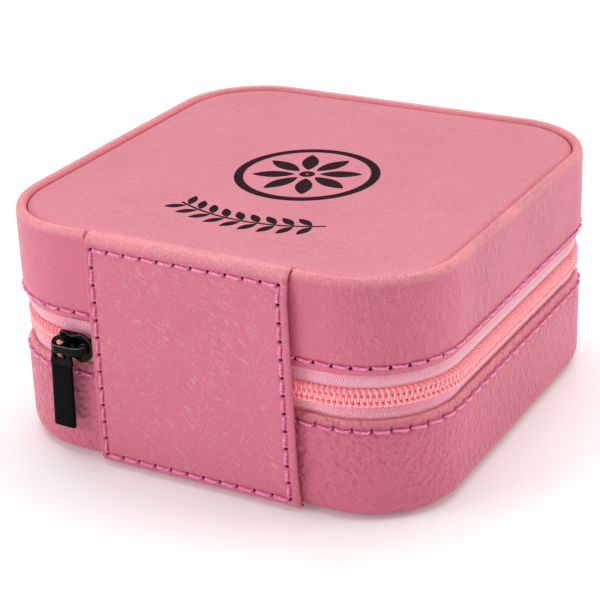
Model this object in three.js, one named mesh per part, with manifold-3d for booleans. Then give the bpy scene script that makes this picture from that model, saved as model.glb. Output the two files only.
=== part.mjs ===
// Travel jewelry case: a square zip-round case of leatherette over board, lined in velvet.
// Millimetres, +Z up. The front is -Y and the sewn hinge panel is at +Y (back).
// The origin is the centre of the flat bottom face that the case stands on.
import * as THREE from "three";
import { mergeVertices } from "three/addons/utils/BufferGeometryUtils.js";
import Module from "manifold-3d";

const wasm = await Module();
wasm.setup();

// ---- Driving dimensions -------------------------------------------------------------------

const CASE = { width: 100, height: 51.4, corner: 20 };
const HALF = CASE.width / 2;
const CORNER_STEPS = 6;

const LEATHER = 0.8;
const BOARD = 1.6;
const LINING = 0.9;
const GAP = 0.2; // air between two layers that are glued on the real case

// Insets, measured inward from the outer face of the side walls.
const BOARD_OUT = LEATHER + GAP;
const BOARD_IN = BOARD_OUT + BOARD;
const LINING_OUT = BOARD_IN + GAP;
const LINING_IN = LINING_OUT + LINING;

// The zip closes a band between the two shells.
const ZIP = { middle: 26.4, low: 21.7, high: 31.1 };

const RIM = { radius: 1.3 }; // rolled leather rim around the lid's top
const RIM_WIDTH = 2 * RIM.radius;
const BOTTOM = { radius: 2.5, lift: 0.4, turn: 4.4 };

const LID_PLATE = { low: 47.4, high: 49.2 };
const LID_CEILING = 45.3; // underside of the lid's velvet panel
const FLOOR = { boardLow: 1.4, boardHigh: 3.0, liningLow: 3.2, liningHigh: 4.3 };

// The zip's centre line has a slightly wider corner than the walls.
const TRACK = { corner: 22, coilOut: 0.6, coilIn: 1.9, tapeOut: 2.05, tapeIn: 2.55 };
const TRACK_CENTRE = HALF - TRACK.corner;
const SLOT = 0.7; // half the gap between the two tapes, where the slider's neck runs
const COIL_WIDTH = 1.4;

const PANEL = { halfWidth: 22.8, thickness: 1.0, stand: 0.25, edgeLow: 0.6 };
const HINGE = { y: HALF + PANEL.stand + PANEL.thickness, z: ZIP.middle };

const SLIDER = { x: 26.8, length: 7.6, width: 6.7, plate: 1.0 };
const BRIDGE = { high: 4.1, bar: 1.1, width: 1.7, leg: 1.2, left: 29.3, right: 24.2 };
const PULL = { x: BRIDGE.left, width: 5.2, top: 29.0, bottom: 8.4, inner: 1.6, outer: 2.7 };

const RING_SIDE = { left: -45.6, right: -6.1 };
const LONG_DIVIDER = { x: -4.8, thickness: 1.8, high: 20.6 };
const CROSS_DIVIDER = { y: 15.2, thickness: 1.8, high: 19.8, play: 0.3 };
const ROLL = { count: 6, pitch: 14.6, radius: 6.8, rounding: 2.2 };

const STRAP = { width: 8, root: -37, tip: -17.6, thickness: 0.9, face: 43.2, snapY: -20.6 };
const STRAP_COUNT = 3;
const STRAP_PITCH = 25;
const POCKET = { halfWidth: 37, mouth: 3, hem: 42, corner: 12, thickness: 1.1 };

// ---- Materials ----------------------------------------------------------------------------

const leather = new THREE.MeshStandardMaterial({ color: 0xdb7188, roughness: 0.55 });
const board = new THREE.MeshStandardMaterial({ color: 0x8c7a6b, roughness: 0.9 });
const foam = new THREE.MeshStandardMaterial({ color: 0xe9e2d6, roughness: 0.95 });
const velvet = new THREE.MeshStandardMaterial({ color: 0xe7a3b0, roughness: 1.0 });
const satin = new THREE.MeshStandardMaterial({ color: 0xe58fa2, roughness: 0.6 });
const tape = new THREE.MeshStandardMaterial({ color: 0xe983a0, roughness: 0.9 });
const coil = new THREE.MeshStandardMaterial({ color: 0xf79aa6, roughness: 0.45 });
const blackMetal = new THREE.MeshStandardMaterial({
  color: 0x0d0d0e,
  roughness: 0.3,
  metalness: 0.8,
});
const nickel = new THREE.MeshStandardMaterial({
  color: 0xb9b6b2,
  roughness: 0.3,
  metalness: 1,
});

const model = new THREE.Group();

function add(name, geometry, material) {
  const mesh = new THREE.Mesh(geometry, material);
  mesh.name = name;
  model.add(mesh);
  return mesh;
}

// ---- Sweeps round the rounded-square outline ----------------------------------------------

// One station of an outline: the centre that its radius is measured from, and its outward normal.
function station(x, y, angle) {
  return { x, y, nx: Math.cos(angle), ny: Math.sin(angle) };
}

// The stations of one corner arc. Quadrant 0 is at +X +Y, and the rest follow anticlockwise.
function cornerArc(quadrant, centre, from = 0, to = 1) {
  const signX = quadrant === 0 || quadrant === 3 ? 1 : -1;
  const signY = quadrant < 2 ? 1 : -1;
  return Array.from({ length: CORNER_STEPS + 1 }, (_, i) => {
    const share = from + ((to - from) * i) / CORNER_STEPS;
    return station(signX * centre, signY * centre, (quadrant + share) * (Math.PI / 2));
  });
}

const WALL_OUTLINE = [0, 1, 2, 3].flatMap((q) => cornerArc(q, HALF - CASE.corner));

// Joins the profile's points, each [inset, z], into loops or strips along the stations.
// kind "ring": a closed profile round a closed outline. "solid": an open profile round a closed
// outline, with its first and last loops filled. "strip": a closed profile along an open outline.
function sweep(profile, stations, radius, kind) {
  const vertices = [];
  const faces = [];
  const rows = profile.length;
  const columns = stations.length;
  for (const [inset, z] of profile) {
    for (const s of stations) {
      vertices.push(s.x + (radius - inset) * s.nx, s.y + (radius - inset) * s.ny, z);
    }
  }
  const at = (row, column) => (row % rows) * columns + (column % columns);
  const lastRow = kind === "solid" ? rows - 1 : rows;
  const lastColumn = kind === "strip" ? columns - 1 : columns;
  for (let r = 0; r < lastRow; r++) {
    for (let c = 0; c < lastColumn; c++) {
      faces.push(at(r, c), at(r, c + 1), at(r + 1, c + 1));
      faces.push(at(r, c), at(r + 1, c + 1), at(r + 1, c));
    }
  }
  if (kind === "solid") fillLoops(vertices, faces, profile, columns, at);
  if (kind === "strip") capEnds(profile, columns, faces, at);
  const geometry = new THREE.BufferGeometry();
  geometry.setAttribute("position", new THREE.Float32BufferAttribute(vertices, 3));
  geometry.setIndex(faces);
  return geometry;
}

// Fills the first and the last loop of a solid from a vertex on the case's axis.
function fillLoops(vertices, faces, profile, columns, at) {
  const last = profile.length - 1;
  for (const row of [0, last]) {
    const middle = vertices.length / 3;
    vertices.push(0, 0, profile[row][1]);
    for (let c = 0; c < columns; c++) {
      const edge = [at(row, c), at(row, c + 1)];
      if (row === 0) edge.reverse();
      faces.push(middle, ...edge);
    }
  }
}

// Caps the two ends of a strip with the profile's own triangles.
function capEnds(profile, columns, faces, at) {
  const outline = profile.map(([inset, z]) => new THREE.Vector2(-inset, z));
  for (const [a, b, c] of THREE.ShapeUtils.triangulateShape(outline, [])) {
    faces.push(at(a, 0), at(b, 0), at(c, 0));
    faces.push(at(a, columns - 1), at(c, columns - 1), at(b, columns - 1));
  }
}

// Points on an arc in the profile's plane, in degrees from outward (0) to upward (90).
function arc(inset, z, radius, fromDegrees, toDegrees, steps) {
  return Array.from({ length: steps + 1 }, (_, i) => {
    const angle = THREE.MathUtils.degToRad(fromDegrees + ((toDegrees - fromDegrees) * i) / steps);
    return [inset - radius * Math.cos(angle), z + radius * Math.sin(angle)];
  });
}

const wallRing = (profile) => sweep(profile, WALL_OUTLINE, CASE.corner, "ring");
const wallSolid = (profile) => sweep(profile, WALL_OUTLINE, CASE.corner, "solid");

// A flat rounded-square plate at an inset from the outer wall.
function plate(inset, low, high) {
  return wallSolid([
    [inset, low],
    [inset, high],
  ]);
}

// ---- Small solids -------------------------------------------------------------------------

// A box given by its lowest and highest corners.
function box([x0, y0, z0], [x1, y1, z1]) {
  const geometry = new THREE.BoxGeometry(x1 - x0, y1 - y0, z1 - z0);
  return geometry.translate((x0 + x1) / 2, (y0 + y1) / 2, (z0 + z1) / 2);
}

// A rounded rectangle, as a shape or as a hole.
function roundedRectangle(path, x0, y0, x1, y1, radius) {
  path.absarc(x1 - radius, y1 - radius, radius, 0, Math.PI / 2);
  path.absarc(x0 + radius, y1 - radius, radius, Math.PI / 2, Math.PI);
  path.absarc(x0 + radius, y0 + radius, radius, Math.PI, 1.5 * Math.PI);
  path.absarc(x1 - radius, y0 + radius, radius, 1.5 * Math.PI, 2 * Math.PI);
  path.closePath();
  return path;
}

// A shape in X and Z pushed outward along +Y, from an offset outside the back wall to another.
function extrudeOutward(shape, inner, outer, curveSegments = 5) {
  const geometry = new THREE.ExtrudeGeometry(shape, {
    depth: outer - inner,
    bevelEnabled: false,
    curveSegments,
  });
  return geometry.rotateX(Math.PI / 2).translate(0, HALF + outer, 0);
}

// A shape in X and Y pushed upward between two heights.
function extrudeUp(shape, low, high, curveSegments = 5) {
  const settings = { depth: high - low, bevelEnabled: false, curveSegments };
  return new THREE.ExtrudeGeometry(shape, settings).translate(0, 0, low);
}

function toManifold(geometry) {
  const bare = geometry.clone();
  bare.deleteAttribute("normal");
  bare.deleteAttribute("uv");
  const merged = mergeVertices(bare, 1e-4);
  return new wasm.Manifold(
    new wasm.Mesh({
      numProp: 3,
      vertProperties: merged.attributes.position.array,
      triVerts: new Uint32Array(merged.index.array),
    }),
  );
}

function fromManifold(solid) {
  const mesh = solid.getMesh();
  const geometry = new THREE.BufferGeometry();
  geometry.setAttribute("position", new THREE.BufferAttribute(mesh.vertProperties, 3));
  geometry.setIndex(new THREE.BufferAttribute(mesh.triVerts, 1));
  return geometry;
}

function join(...geometries) {
  return fromManifold(geometries.map(toManifold).reduce((all, next) => all.add(next)));
}

function cut(geometry, tool) {
  return fromManifold(toManifold(geometry).subtract(toManifold(tool)));
}

// ---- Base ---------------------------------------------------------------------------------

function baseSideCover() {
  const r = BOTTOM.radius;
  const z = BOTTOM.lift + r;
  return wallRing([
    [BOTTOM.turn, BOTTOM.lift],
    ...arc(r, z, r, -90, 0, 4),
    [0, ZIP.low - 2.1],
    [0.35, ZIP.low - 0.8],
    [1.0, ZIP.low],
    [1.8, ZIP.low],
    [1.1, ZIP.low - 1.1],
    [LEATHER, ZIP.low - 2.2],
    ...arc(r, z, r - LEATHER, 0, -90, 4),
    [BOTTOM.turn, BOTTOM.lift + LEATHER],
  ]);
}

function baseBoard() {
  const top = ZIP.low - 0.3;
  return wallSolid([
    [BOTTOM.radius, FLOOR.boardLow],
    [1.45, FLOOR.boardLow + 0.45],
    [BOARD_OUT, FLOOR.boardLow + 1.5],
    [BOARD_OUT, top - 2.1],
    [2.0, top],
    [BOARD_IN, top],
    [BOARD_IN, FLOOR.boardHigh],
  ]);
}

function liningWall(low, high) {
  return wallRing([
    [LINING_OUT, low],
    [LINING_OUT, high],
    [LINING_IN, high],
    [LINING_IN, low],
  ]);
}

function buildBase() {
  add("base_side_cover", baseSideCover(), leather);
  add("base_bottom_panel", plate(BOTTOM.turn + GAP, 0, 1.0), leather);
  add("base_board", baseBoard(), board);
  add("base_floor_lining", plate(LINING_OUT, FLOOR.liningLow, FLOOR.liningHigh), velvet);
  add("base_wall_lining", liningWall(FLOOR.liningHigh + GAP, ZIP.low), velvet);
}

// ---- Inside the base ----------------------------------------------------------------------

// A foam roll lying along X, with rounded ends.
function ringRoll(left, right, y) {
  const { radius, rounding } = ROLL;
  const half = (right - left) / 2;
  const end = (sign) =>
    [0, 1, 2].map((i) => {
      const angle = (i / 2) * (Math.PI / 2);
      const reach = half - rounding + rounding * Math.cos(angle);
      return new THREE.Vector2(radius - rounding + rounding * Math.sin(angle), sign * reach);
    });
  const profile = [
    new THREE.Vector2(0, -half),
    ...end(-1),
    ...end(1).reverse(),
    new THREE.Vector2(0, half),
  ];
  const floor = FLOOR.liningHigh + GAP;
  const roll = new THREE.LatheGeometry(profile, 14);
  return roll.rotateZ(Math.PI / 2).translate((left + right) / 2, y, floor + radius);
}

function buildRingRolls() {
  const inner = CASE.corner - LINING_IN;
  const centre = HALF - CASE.corner;
  for (let i = 0; i < ROLL.count; i++) {
    const y = (i - (ROLL.count - 1) / 2) * ROLL.pitch;
    const far = Math.abs(y) + ROLL.radius - ROLL.rounding - centre;
    const reach = far > 0 ? centre + Math.sqrt(inner ** 2 - far ** 2) : Infinity;
    const left = Math.max(RING_SIDE.left, -reach + 1.6);
    add(`ring_roll_${i + 1}`, ringRoll(left, RING_SIDE.right, y), velvet);
  }
}

function buildDividers() {
  const low = FLOOR.liningHigh + GAP;
  const reach = HALF - LINING_IN - 0.3;
  const half = LONG_DIVIDER.thickness / 2;
  add(
    "long_divider",
    box([LONG_DIVIDER.x - half, -reach, low], [LONG_DIVIDER.x + half, reach, LONG_DIVIDER.high]),
    velvet,
  );
  const left = LONG_DIVIDER.x + half + CROSS_DIVIDER.play;
  const right = reach - CROSS_DIVIDER.play;
  const thick = CROSS_DIVIDER.thickness / 2;
  for (const [name, sign] of [
    ["front_divider", -1],
    ["rear_divider", 1],
  ]) {
    const y = sign * CROSS_DIVIDER.y;
    add(name, box([left, y - thick, low], [right, y + thick, CROSS_DIVIDER.high]), velvet);
  }
}

// ---- Lid ----------------------------------------------------------------------------------

function lidSideCover() {
  const r = RIM.radius;
  const z = CASE.height - r;
  const edge = LID_PLATE.high + GAP;
  return wallRing([
    [1.0, ZIP.high],
    [1.8, ZIP.high],
    [1.1, ZIP.high + 1.1],
    [LEATHER, ZIP.high + 2.2],
    ...arc(r, z, r - LEATHER, 0, 180, 6),
    [RIM_WIDTH - LEATHER, edge],
    [RIM_WIDTH, edge],
    ...arc(r, z, r, 180, 0, 8),
    [0, ZIP.high + 2.1],
    [0.35, ZIP.high + 0.8],
  ].reverse());
}

function lidBoard() {
  const bottom = ZIP.high + 0.3;
  const ledge = RIM_WIDTH - LEATHER - GAP;
  const top = CASE.height - RIM.radius;
  return wallSolid([
    [BOARD_IN, LID_PLATE.low],
    [BOARD_IN, bottom],
    [2.0, bottom],
    [BOARD_OUT, bottom + 2.1],
    [BOARD_OUT, top - 0.1],
    [RIM.radius - 0.1, top + 0.2],
    [RIM.radius + 0.1, top + 0.2],
    [ledge, top - 0.1],
    [ledge, LID_PLATE.high],
  ]);
}

// The padded top: flat underneath, gently crowned above.
function lidTopPanel() {
  const edge = RIM_WIDTH + GAP;
  return wallSolid([
    [edge, 50.1],
    [edge, 50.3],
    [edge + 1.0, 50.7],
    [edge + 4.0, 51.0],
    [edge + 10.0, 51.2],
  ]);
}

function buildLid() {
  add("lid_side_cover", lidSideCover(), leather);
  add("lid_board", lidBoard(), board);
  add("lid_top_pad", plate(RIM_WIDTH + 0.4, LID_PLATE.high + GAP, 49.9), foam);
  add("lid_top_panel", lidTopPanel(), leather);
  add("lid_wall_lining", liningWall(ZIP.high, LID_CEILING - GAP), velvet);
  add("lid_ceiling_lining", plate(LINING_OUT, LID_CEILING, LID_PLATE.low - GAP), velvet);
}

// ---- Necklace straps and pocket inside the lid --------------------------------------------

function buildStraps() {
  const { width, root, tip, thickness, face, snapY } = STRAP;
  const half = width / 2;
  for (let i = 0; i < STRAP_COUNT; i++) {
    const x = (i - (STRAP_COUNT - 1) / 2) * STRAP_PITCH;
    const strapShape = roundedRectangle(new THREE.Shape(), x - half, root + 0.2, x + half, tip, 2.6);
    add(`necklace_strap_${i + 1}`, extrudeUp(strapShape, face, face + thickness), leather);
    const sewn = box([x - half, root - 4, face + 1.1], [x + half, root - 0.1, LID_CEILING - GAP]);
    add(`strap_sewn_end_${i + 1}`, sewn, leather);
    const cap = new THREE.CylinderGeometry(3.3, 2.4, 1.0, 16).rotateX(Math.PI / 2);
    add(`snap_cap_${i + 1}`, cap.translate(x, snapY, face - GAP - 0.5), nickel);
    const stud = new THREE.CylinderGeometry(2.3, 2.3, 0.8, 16).rotateX(Math.PI / 2);
    add(`snap_stud_${i + 1}`, stud.translate(x, snapY, LID_CEILING - GAP - 0.4), nickel);
  }
}

function buildPocket() {
  const { halfWidth, mouth, hem, corner, thickness } = POCKET;
  const top = LID_CEILING - GAP;
  const shape = new THREE.Shape();
  shape.moveTo(-halfWidth, mouth);
  shape.lineTo(halfWidth, mouth);
  shape.absarc(halfWidth - corner, hem - corner, corner, 0, Math.PI / 2);
  shape.absarc(corner - halfWidth, hem - corner, corner, Math.PI / 2, Math.PI);
  add("lid_pocket", extrudeUp(shape, top - thickness, top), satin);
  const band = box([-halfWidth, mouth - 3.2, top - 1.4], [halfWidth, mouth - GAP, top]);
  add("pocket_elastic_band", band, satin);
}

// ---- Zip ----------------------------------------------------------------------------------

// The track runs from the hinge panel's right edge, round the front, to its left edge.
// End stretches beside the hinge flex as the lid opens, so they are pieces of their own.
const TRACK_START = PANEL.halfWidth + 0.3;
const FLEX_SHARE = 0.13; // share of the rear corner's arc that belongs to the end stretch
const CUT_SHARE = 0.005; // a sliver of arc left free where two stretches meet

function flexStations(side) {
  const quadrant = side > 0 ? 0 : 1;
  const share = FLEX_SHARE - CUT_SHARE;
  const arcStations = side > 0
    ? cornerArc(quadrant, TRACK_CENTRE, 1 - share, 1)
    : cornerArc(quadrant, TRACK_CENTRE, 0, share);
  const start = station(side * TRACK_START, TRACK_CENTRE, Math.PI / 2);
  return side > 0 ? [...arcStations, start] : [start, ...arcStations];
}

function mainStations() {
  return [
    ...cornerArc(1, TRACK_CENTRE, FLEX_SHARE, 1),
    ...cornerArc(2, TRACK_CENTRE),
    ...cornerArc(3, TRACK_CENTRE),
    ...cornerArc(0, TRACK_CENTRE, 0, 1 - FLEX_SHARE),
  ];
}

function fullStations() {
  return [
    station(-TRACK_START, TRACK_CENTRE, Math.PI / 2),
    ...[1, 2, 3, 0].flatMap((q) => cornerArc(q, TRACK_CENTRE)),
    station(TRACK_START, TRACK_CENTRE, Math.PI / 2),
  ];
}

// A band of the zip between two insets and two heights.
function zipBand(stations, outer, inner, low, high) {
  const profile = [
    [inner, low],
    [outer, low],
    [outer, high],
    [inner, high],
  ];
  return sweep(profile, stations, TRACK.corner, "strip");
}

function buildZip() {
  const { coilOut, coilIn, tapeOut, tapeIn } = TRACK;
  const up = [ZIP.middle + SLOT, ZIP.high - 0.1];
  const down = [ZIP.low + 0.1, ZIP.middle - SLOT];
  const coilUp = [up[0], up[0] + COIL_WIDTH];
  const coilDown = [down[1] - COIL_WIDTH, down[1]];
  add("zip_tape_lower", zipBand(fullStations(), tapeOut, tapeIn, ...down), tape);
  add("zip_coil_lower", zipBand(fullStations(), coilOut, coilIn, ...coilDown), coil);
  add("zip_tape_upper", zipBand(mainStations(), tapeOut, tapeIn, ...up), tape);
  add("zip_coil_upper", zipBand(mainStations(), coilOut, coilIn, ...coilUp), coil);
  add("zip_tape_end_right", zipBand(flexStations(1), tapeOut, tapeIn, ...up), tape);
  add("zip_tape_end_left", zipBand(flexStations(-1), tapeOut, tapeIn, ...up), tape);
}

// The slider: an outer plate with side lips over the coil, a neck between the tapes, an inner
// plate behind them, and an arched bridge for the pull.
function sliderBody() {
  const { x, length, width, plate: thick } = SLIDER;
  const x0 = x - length / 2;
  const x1 = x + length / 2;
  const z = ZIP.middle;
  const face = thick - 0.3; // outer face, outside the wall's face
  const outline = new THREE.Shape();
  outline.absarc(x0 + width / 2, z, width / 2, Math.PI / 2, 1.5 * Math.PI);
  outline.lineTo(x1, z - width / 2 + 0.7);
  outline.lineTo(x1, z + width / 2 - 0.7);
  const outer = extrudeOutward(outline, -0.3, face, 8);
  const lip = (sign) => {
    const far = z + sign * (width / 2 - 0.4);
    const near = far - sign * 0.7;
    const y0 = HALF - 1.5;
    return box([x0 + 3, y0, Math.min(far, near)], [x1 - 0.4, HALF - 0.2, Math.max(far, near)]);
  };
  const inner = box([x - 3, HALF - 4.0, z - 3.1], [x + 3, HALF - 3.3, z + 3.1]);
  const neck = box([x - 2.9, HALF - 3.4, z - 0.5], [x - 1.4, HALF - 0.2, z + 0.5]);
  const half = BRIDGE.width / 2;
  const legHalf = BRIDGE.leg / 2;
  const under = BRIDGE.high - BRIDGE.bar;
  const bar = box(
    [BRIDGE.right - legHalf, HALF + under, z - half],
    [BRIDGE.left + legHalf, HALF + BRIDGE.high, z + half],
  );
  const leg = (legX) =>
    box(
      [legX - legHalf, HALF + face - 0.1, z - half],
      [legX + legHalf, HALF + under + 0.1, z + half],
    );
  const parts = [outer, lip(1), lip(-1), inner, neck, bar, leg(BRIDGE.left), leg(BRIDGE.right)];
  return join(...parts);
}

// The pull: a flat tab whose rounded eye goes round the bridge's left leg.
function pullTab() {
  const half = PULL.width / 2;
  const { x, top, bottom, inner, outer } = PULL;
  const shape = new THREE.Shape();
  shape.absarc(x, top - half, half, 0, Math.PI);
  shape.absarc(x - half + 0.6, bottom + 0.6, 0.6, Math.PI, 1.5 * Math.PI);
  shape.absarc(x + half - 0.6, bottom + 0.6, 0.6, 1.5 * Math.PI, 2 * Math.PI);
  const eye = new THREE.Path();
  const wide = half - 0.9;
  const eyeHigh = ZIP.middle + BRIDGE.width / 2 + 0.35;
  const eyeLow = ZIP.middle - 2.4;
  shape.holes.push(roundedRectangle(eye, x - wide, eyeLow, x + wide, eyeHigh, 0.8));
  return extrudeOutward(shape, inner, outer);
}

// ---- Hinge --------------------------------------------------------------------------------

// The panel's section: [distance outside the wall, z], from its inner to its outer face.
function hingePanelSlab(low, high) {
  const { halfWidth, stand, thickness } = PANEL;
  const y0 = HALF + stand;
  return box([-halfWidth, y0, low], [halfWidth, y0 + thickness, high]);
}

// The upper part also turns in over the lid's rolled rim.
function hingePanelUpper() {
  const top = CASE.height - RIM.radius;
  const lap = new THREE.Shape();
  const outerR = RIM.radius + PANEL.stand + PANEL.thickness;
  const innerR = RIM.radius + PANEL.stand;
  const lapAngle = THREE.MathUtils.degToRad(40);
  lap.absarc(0, 0, outerR, 0, lapAngle);
  lap.absarc(0, 0, innerR, lapAngle, 0, true);
  const settings = { depth: 2 * PANEL.halfWidth, bevelEnabled: false, curveSegments: 4 };
  const geometry = new THREE.ExtrudeGeometry(lap, settings);
  geometry.rotateX(Math.PI / 2).rotateZ(Math.PI / 2);
  geometry.translate(-PANEL.halfWidth, HALF - RIM.radius, top);
  return join(hingePanelSlab(ZIP.high, top + 0.01), geometry);
}

function buildHinge() {
  add("hinge_panel_upper", hingePanelUpper(), leather);
  add("hinge_panel_fold", hingePanelSlab(ZIP.low + GAP, ZIP.high - GAP), leather);
  add("hinge_panel_lower", hingePanelSlab(PANEL.edgeLow, ZIP.low), leather);
  const y = HALF - LINING_IN;
  const strip = box([-PANEL.halfWidth, y, ZIP.low + GAP], [PANEL.halfWidth, y + 0.6, ZIP.high - GAP]);
  add("hinge_lining", strip, velvet);
}

// ---- The whole case -----------------------------------------------------------------------

buildBase();
buildRingRolls();
buildDividers();
buildLid();
buildStraps();
buildPocket();
buildZip();
add("zip_slider", sliderBody(), blackMetal);
add("pull_tab", pullTab(), blackMetal);
buildHinge();

export default model;
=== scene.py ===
"""Looks of the travel jewelry case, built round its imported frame.

Shapes are worked out in millimetres in the row frame (+Z up, hinge panel at +Y) and stored in metres.
"""
import math

import bmesh
import bpy
import numpy as np
from mathutils import Matrix, Vector


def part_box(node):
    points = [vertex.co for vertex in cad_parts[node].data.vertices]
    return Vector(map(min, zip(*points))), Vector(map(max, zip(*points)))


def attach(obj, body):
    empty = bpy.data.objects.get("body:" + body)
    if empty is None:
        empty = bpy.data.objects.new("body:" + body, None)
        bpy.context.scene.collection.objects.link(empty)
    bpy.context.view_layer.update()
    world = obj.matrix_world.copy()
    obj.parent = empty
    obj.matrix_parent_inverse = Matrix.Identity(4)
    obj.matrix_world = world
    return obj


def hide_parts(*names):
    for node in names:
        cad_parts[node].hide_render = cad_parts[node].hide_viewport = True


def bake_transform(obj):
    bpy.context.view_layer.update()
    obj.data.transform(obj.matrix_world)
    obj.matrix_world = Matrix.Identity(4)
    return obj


MM = 0.001
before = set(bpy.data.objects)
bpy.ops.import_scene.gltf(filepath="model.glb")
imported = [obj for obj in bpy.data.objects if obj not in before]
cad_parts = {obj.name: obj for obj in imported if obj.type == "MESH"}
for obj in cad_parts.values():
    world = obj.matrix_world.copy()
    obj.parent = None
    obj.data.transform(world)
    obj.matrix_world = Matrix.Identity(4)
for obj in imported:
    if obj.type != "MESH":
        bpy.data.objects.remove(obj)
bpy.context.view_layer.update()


def span(node, axis):
    """Lowest and highest coordinate of a CAD node along an axis, in millimetres."""
    low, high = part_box(node)
    return low[axis] / MM, high[axis] / MM


def middle_of(node, axis):
    """The middle of a CAD node along an axis, in millimetres."""
    return sum(span(node, axis)) / 2


def half_of(node, axis):
    """Half a CAD node's size along an axis, in millimetres."""
    low, high = span(node, axis)
    return (high - low) / 2


# ---- Driving dimensions, from the frame ----------------------------------------------------

HALF = span("base_side_cover", 0)[1]
CORNER = 20.0  # radius of the wall's corners
BASE_LOW, BASE_EDGE = span("base_side_cover", 2)
LID_EDGE, LID_TOP = span("lid_side_cover", 2)
ZIP_Z = (BASE_EDGE + LID_EDGE) / 2
LEATHER = 0.95  # thickness of the side covers

STITCH = 3.86  # one stitch, hole to hole
SEAM_INSET = 2.15  # how far the edge seams lie from the leather's edge
LID_SEAM = LID_EDGE + SEAM_INSET
BASE_SEAM = BASE_EDGE - SEAM_INSET

PANEL_HALF = span("hinge_panel_fold", 0)[1]
PANEL_SEAM = PANEL_HALF - 1.55
PANEL_ROWS = (2.4, 48.5)  # heights of the panel's level seams
PANEL_STAND = 0.3  # from the wall to the panel
PANEL_THICK = 1.0


# ---- Meshes --------------------------------------------------------------------------------


def linked(name, data):
    """A new object in the scene that shows the data."""
    thing = bpy.data.objects.new(name, data)
    bpy.context.scene.collection.objects.link(thing)
    return thing


def mesh_object(name, parts, material, crease=38):
    """One object from a list of (points in millimetres, faces), with its faces turned outward."""
    points = np.concatenate([np.asarray(p, float).reshape(-1, 3) for p, _ in parts])
    faces = []
    start = 0
    for part_points, part_faces in parts:
        faces += [[start + i for i in face] for face in part_faces]
        start += len(np.asarray(part_points).reshape(-1, 3))
    mesh = bpy.data.meshes.new(name)
    mesh.from_pydata((points * MM).tolist(), [], faces)
    work = bmesh.new()
    work.from_mesh(mesh)
    bmesh.ops.recalc_face_normals(work, faces=work.faces)
    work.to_mesh(mesh)
    work.free()
    mesh.shade_smooth()
    mesh.set_sharp_from_angle(angle=math.radians(crease))
    mesh.materials.append(material)
    return linked(name, mesh)


def place(thing, body, slot, *nodes):
    """Rides a piece on a body and hides the CAD nodes it stands for."""
    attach(thing, body)
    finish(thing, slot, *nodes)


def finish(thing, slot, *nodes):
    """Hides the CAD nodes that a piece stands for."""
    if nodes:
        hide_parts(*nodes)


def grid_faces(rows, columns, close_rows=False, close_columns=False):
    """Quads over points stored row by row."""
    r = np.arange(rows if close_rows else rows - 1)
    c = np.arange(columns if close_columns else columns - 1)
    row, column = (a.ravel() for a in np.meshgrid(r, c, indexing="ij"))
    next_row = (row + 1) % rows
    next_column = (column + 1) % columns
    quads = (
        row * columns + column,
        row * columns + next_column,
        next_row * columns + next_column,
        next_row * columns + column,
    )
    return np.stack(quads, -1).tolist()


def row_caps(rows, columns):
    """Faces that fill the first and the last row of a grid of points."""
    last = (rows - 1) * columns
    return [list(range(columns)), [last + i for i in range(columns)][::-1]]


def column_caps(rows, columns):
    """Faces that fill the first and the last column of a grid of points."""
    first = np.arange(rows) * columns
    return [first.tolist(), (first + columns - 1).tolist()[::-1]]


def capped_rings(points):
    """Faces over rings of points, with the first and last ring filled."""
    rings, count = points.shape[:2]
    faces = grid_faces(rings, count, close_columns=True)
    return points.reshape(-1, 3), faces + row_caps(rings, count)


def spread(low, high, step, marks=(), offsets=()):
    """Even samples from low to high, with extra ones at offsets round each mark."""
    even = np.linspace(low, high, max(2, int(round((high - low) / step)) + 1))
    extra = np.add.outer(np.asarray(marks, float), np.asarray(offsets, float)).ravel()
    if len(extra):
        near = np.abs(even[:, None] - extra[None, :]).min(1) < 0.12
        near[[0, -1]] = False
        even = even[~near]
    both = np.concatenate([even, extra])
    return np.unique(np.round(both[(both >= low) & (both <= high)], 5))


def smooth_line(points, step):
    """A Catmull-Rom curve through the points, sampled about every step."""
    p = np.asarray(points, float)
    p = np.vstack([2 * p[0] - p[1], p, 2 * p[-1] - p[-2]])
    out = []
    for a, b, c, d in zip(p, p[1:], p[2:], p[3:]):
        count = max(1, int(round(np.linalg.norm(c - b) / step)))
        t = (np.arange(count) / count)[:, None]
        out.append(
            0.5 * (2 * b + (c - a) * t + (2 * a - 5 * b + 4 * c - d) * t**2 + (3 * b - a - 3 * c + d) * t**3)
        )
    return np.vstack([*out, p[-2][None]])


def arc(centre, radius, start, end, steps):
    """Points (inset, z) on an arc. Angles in degrees run from outward (0) to upward (90)."""
    angle = np.radians(np.linspace(start, end, steps + 1))
    return np.stack([centre[0] - radius * np.cos(angle), centre[1] + radius * np.sin(angle)], -1)


def tangents_along(path):
    """Unit tangents of a polyline."""
    t = np.gradient(path, axis=0)
    return t / np.linalg.norm(t, axis=1)[:, None]


def tube(path, radius, sides=8, up=(0, 0, 1)):
    """A capped tube along a path."""
    path = np.asarray(path, float)
    tangent = tangents_along(path)
    side = np.cross(tangent, np.asarray(up, float))
    side /= np.linalg.norm(side, axis=1)[:, None] + 1e-9
    other = np.cross(side, tangent)
    turn = np.linspace(0, 2 * math.pi, sides, endpoint=False)
    radius = np.broadcast_to(radius, (len(path),))[:, None, None]
    ring = side[:, None] * np.cos(turn)[None, :, None] + other[:, None] * np.sin(turn)[None, :, None]
    points = (path[:, None] + radius * ring).reshape(-1, 3)
    faces = grid_faces(len(path), sides, close_columns=True)
    first, last = row_caps(len(path), sides)
    return points, faces + [first[::-1], last[::-1]]


# ---- The rounded-square path round the case --------------------------------------------------


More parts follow.
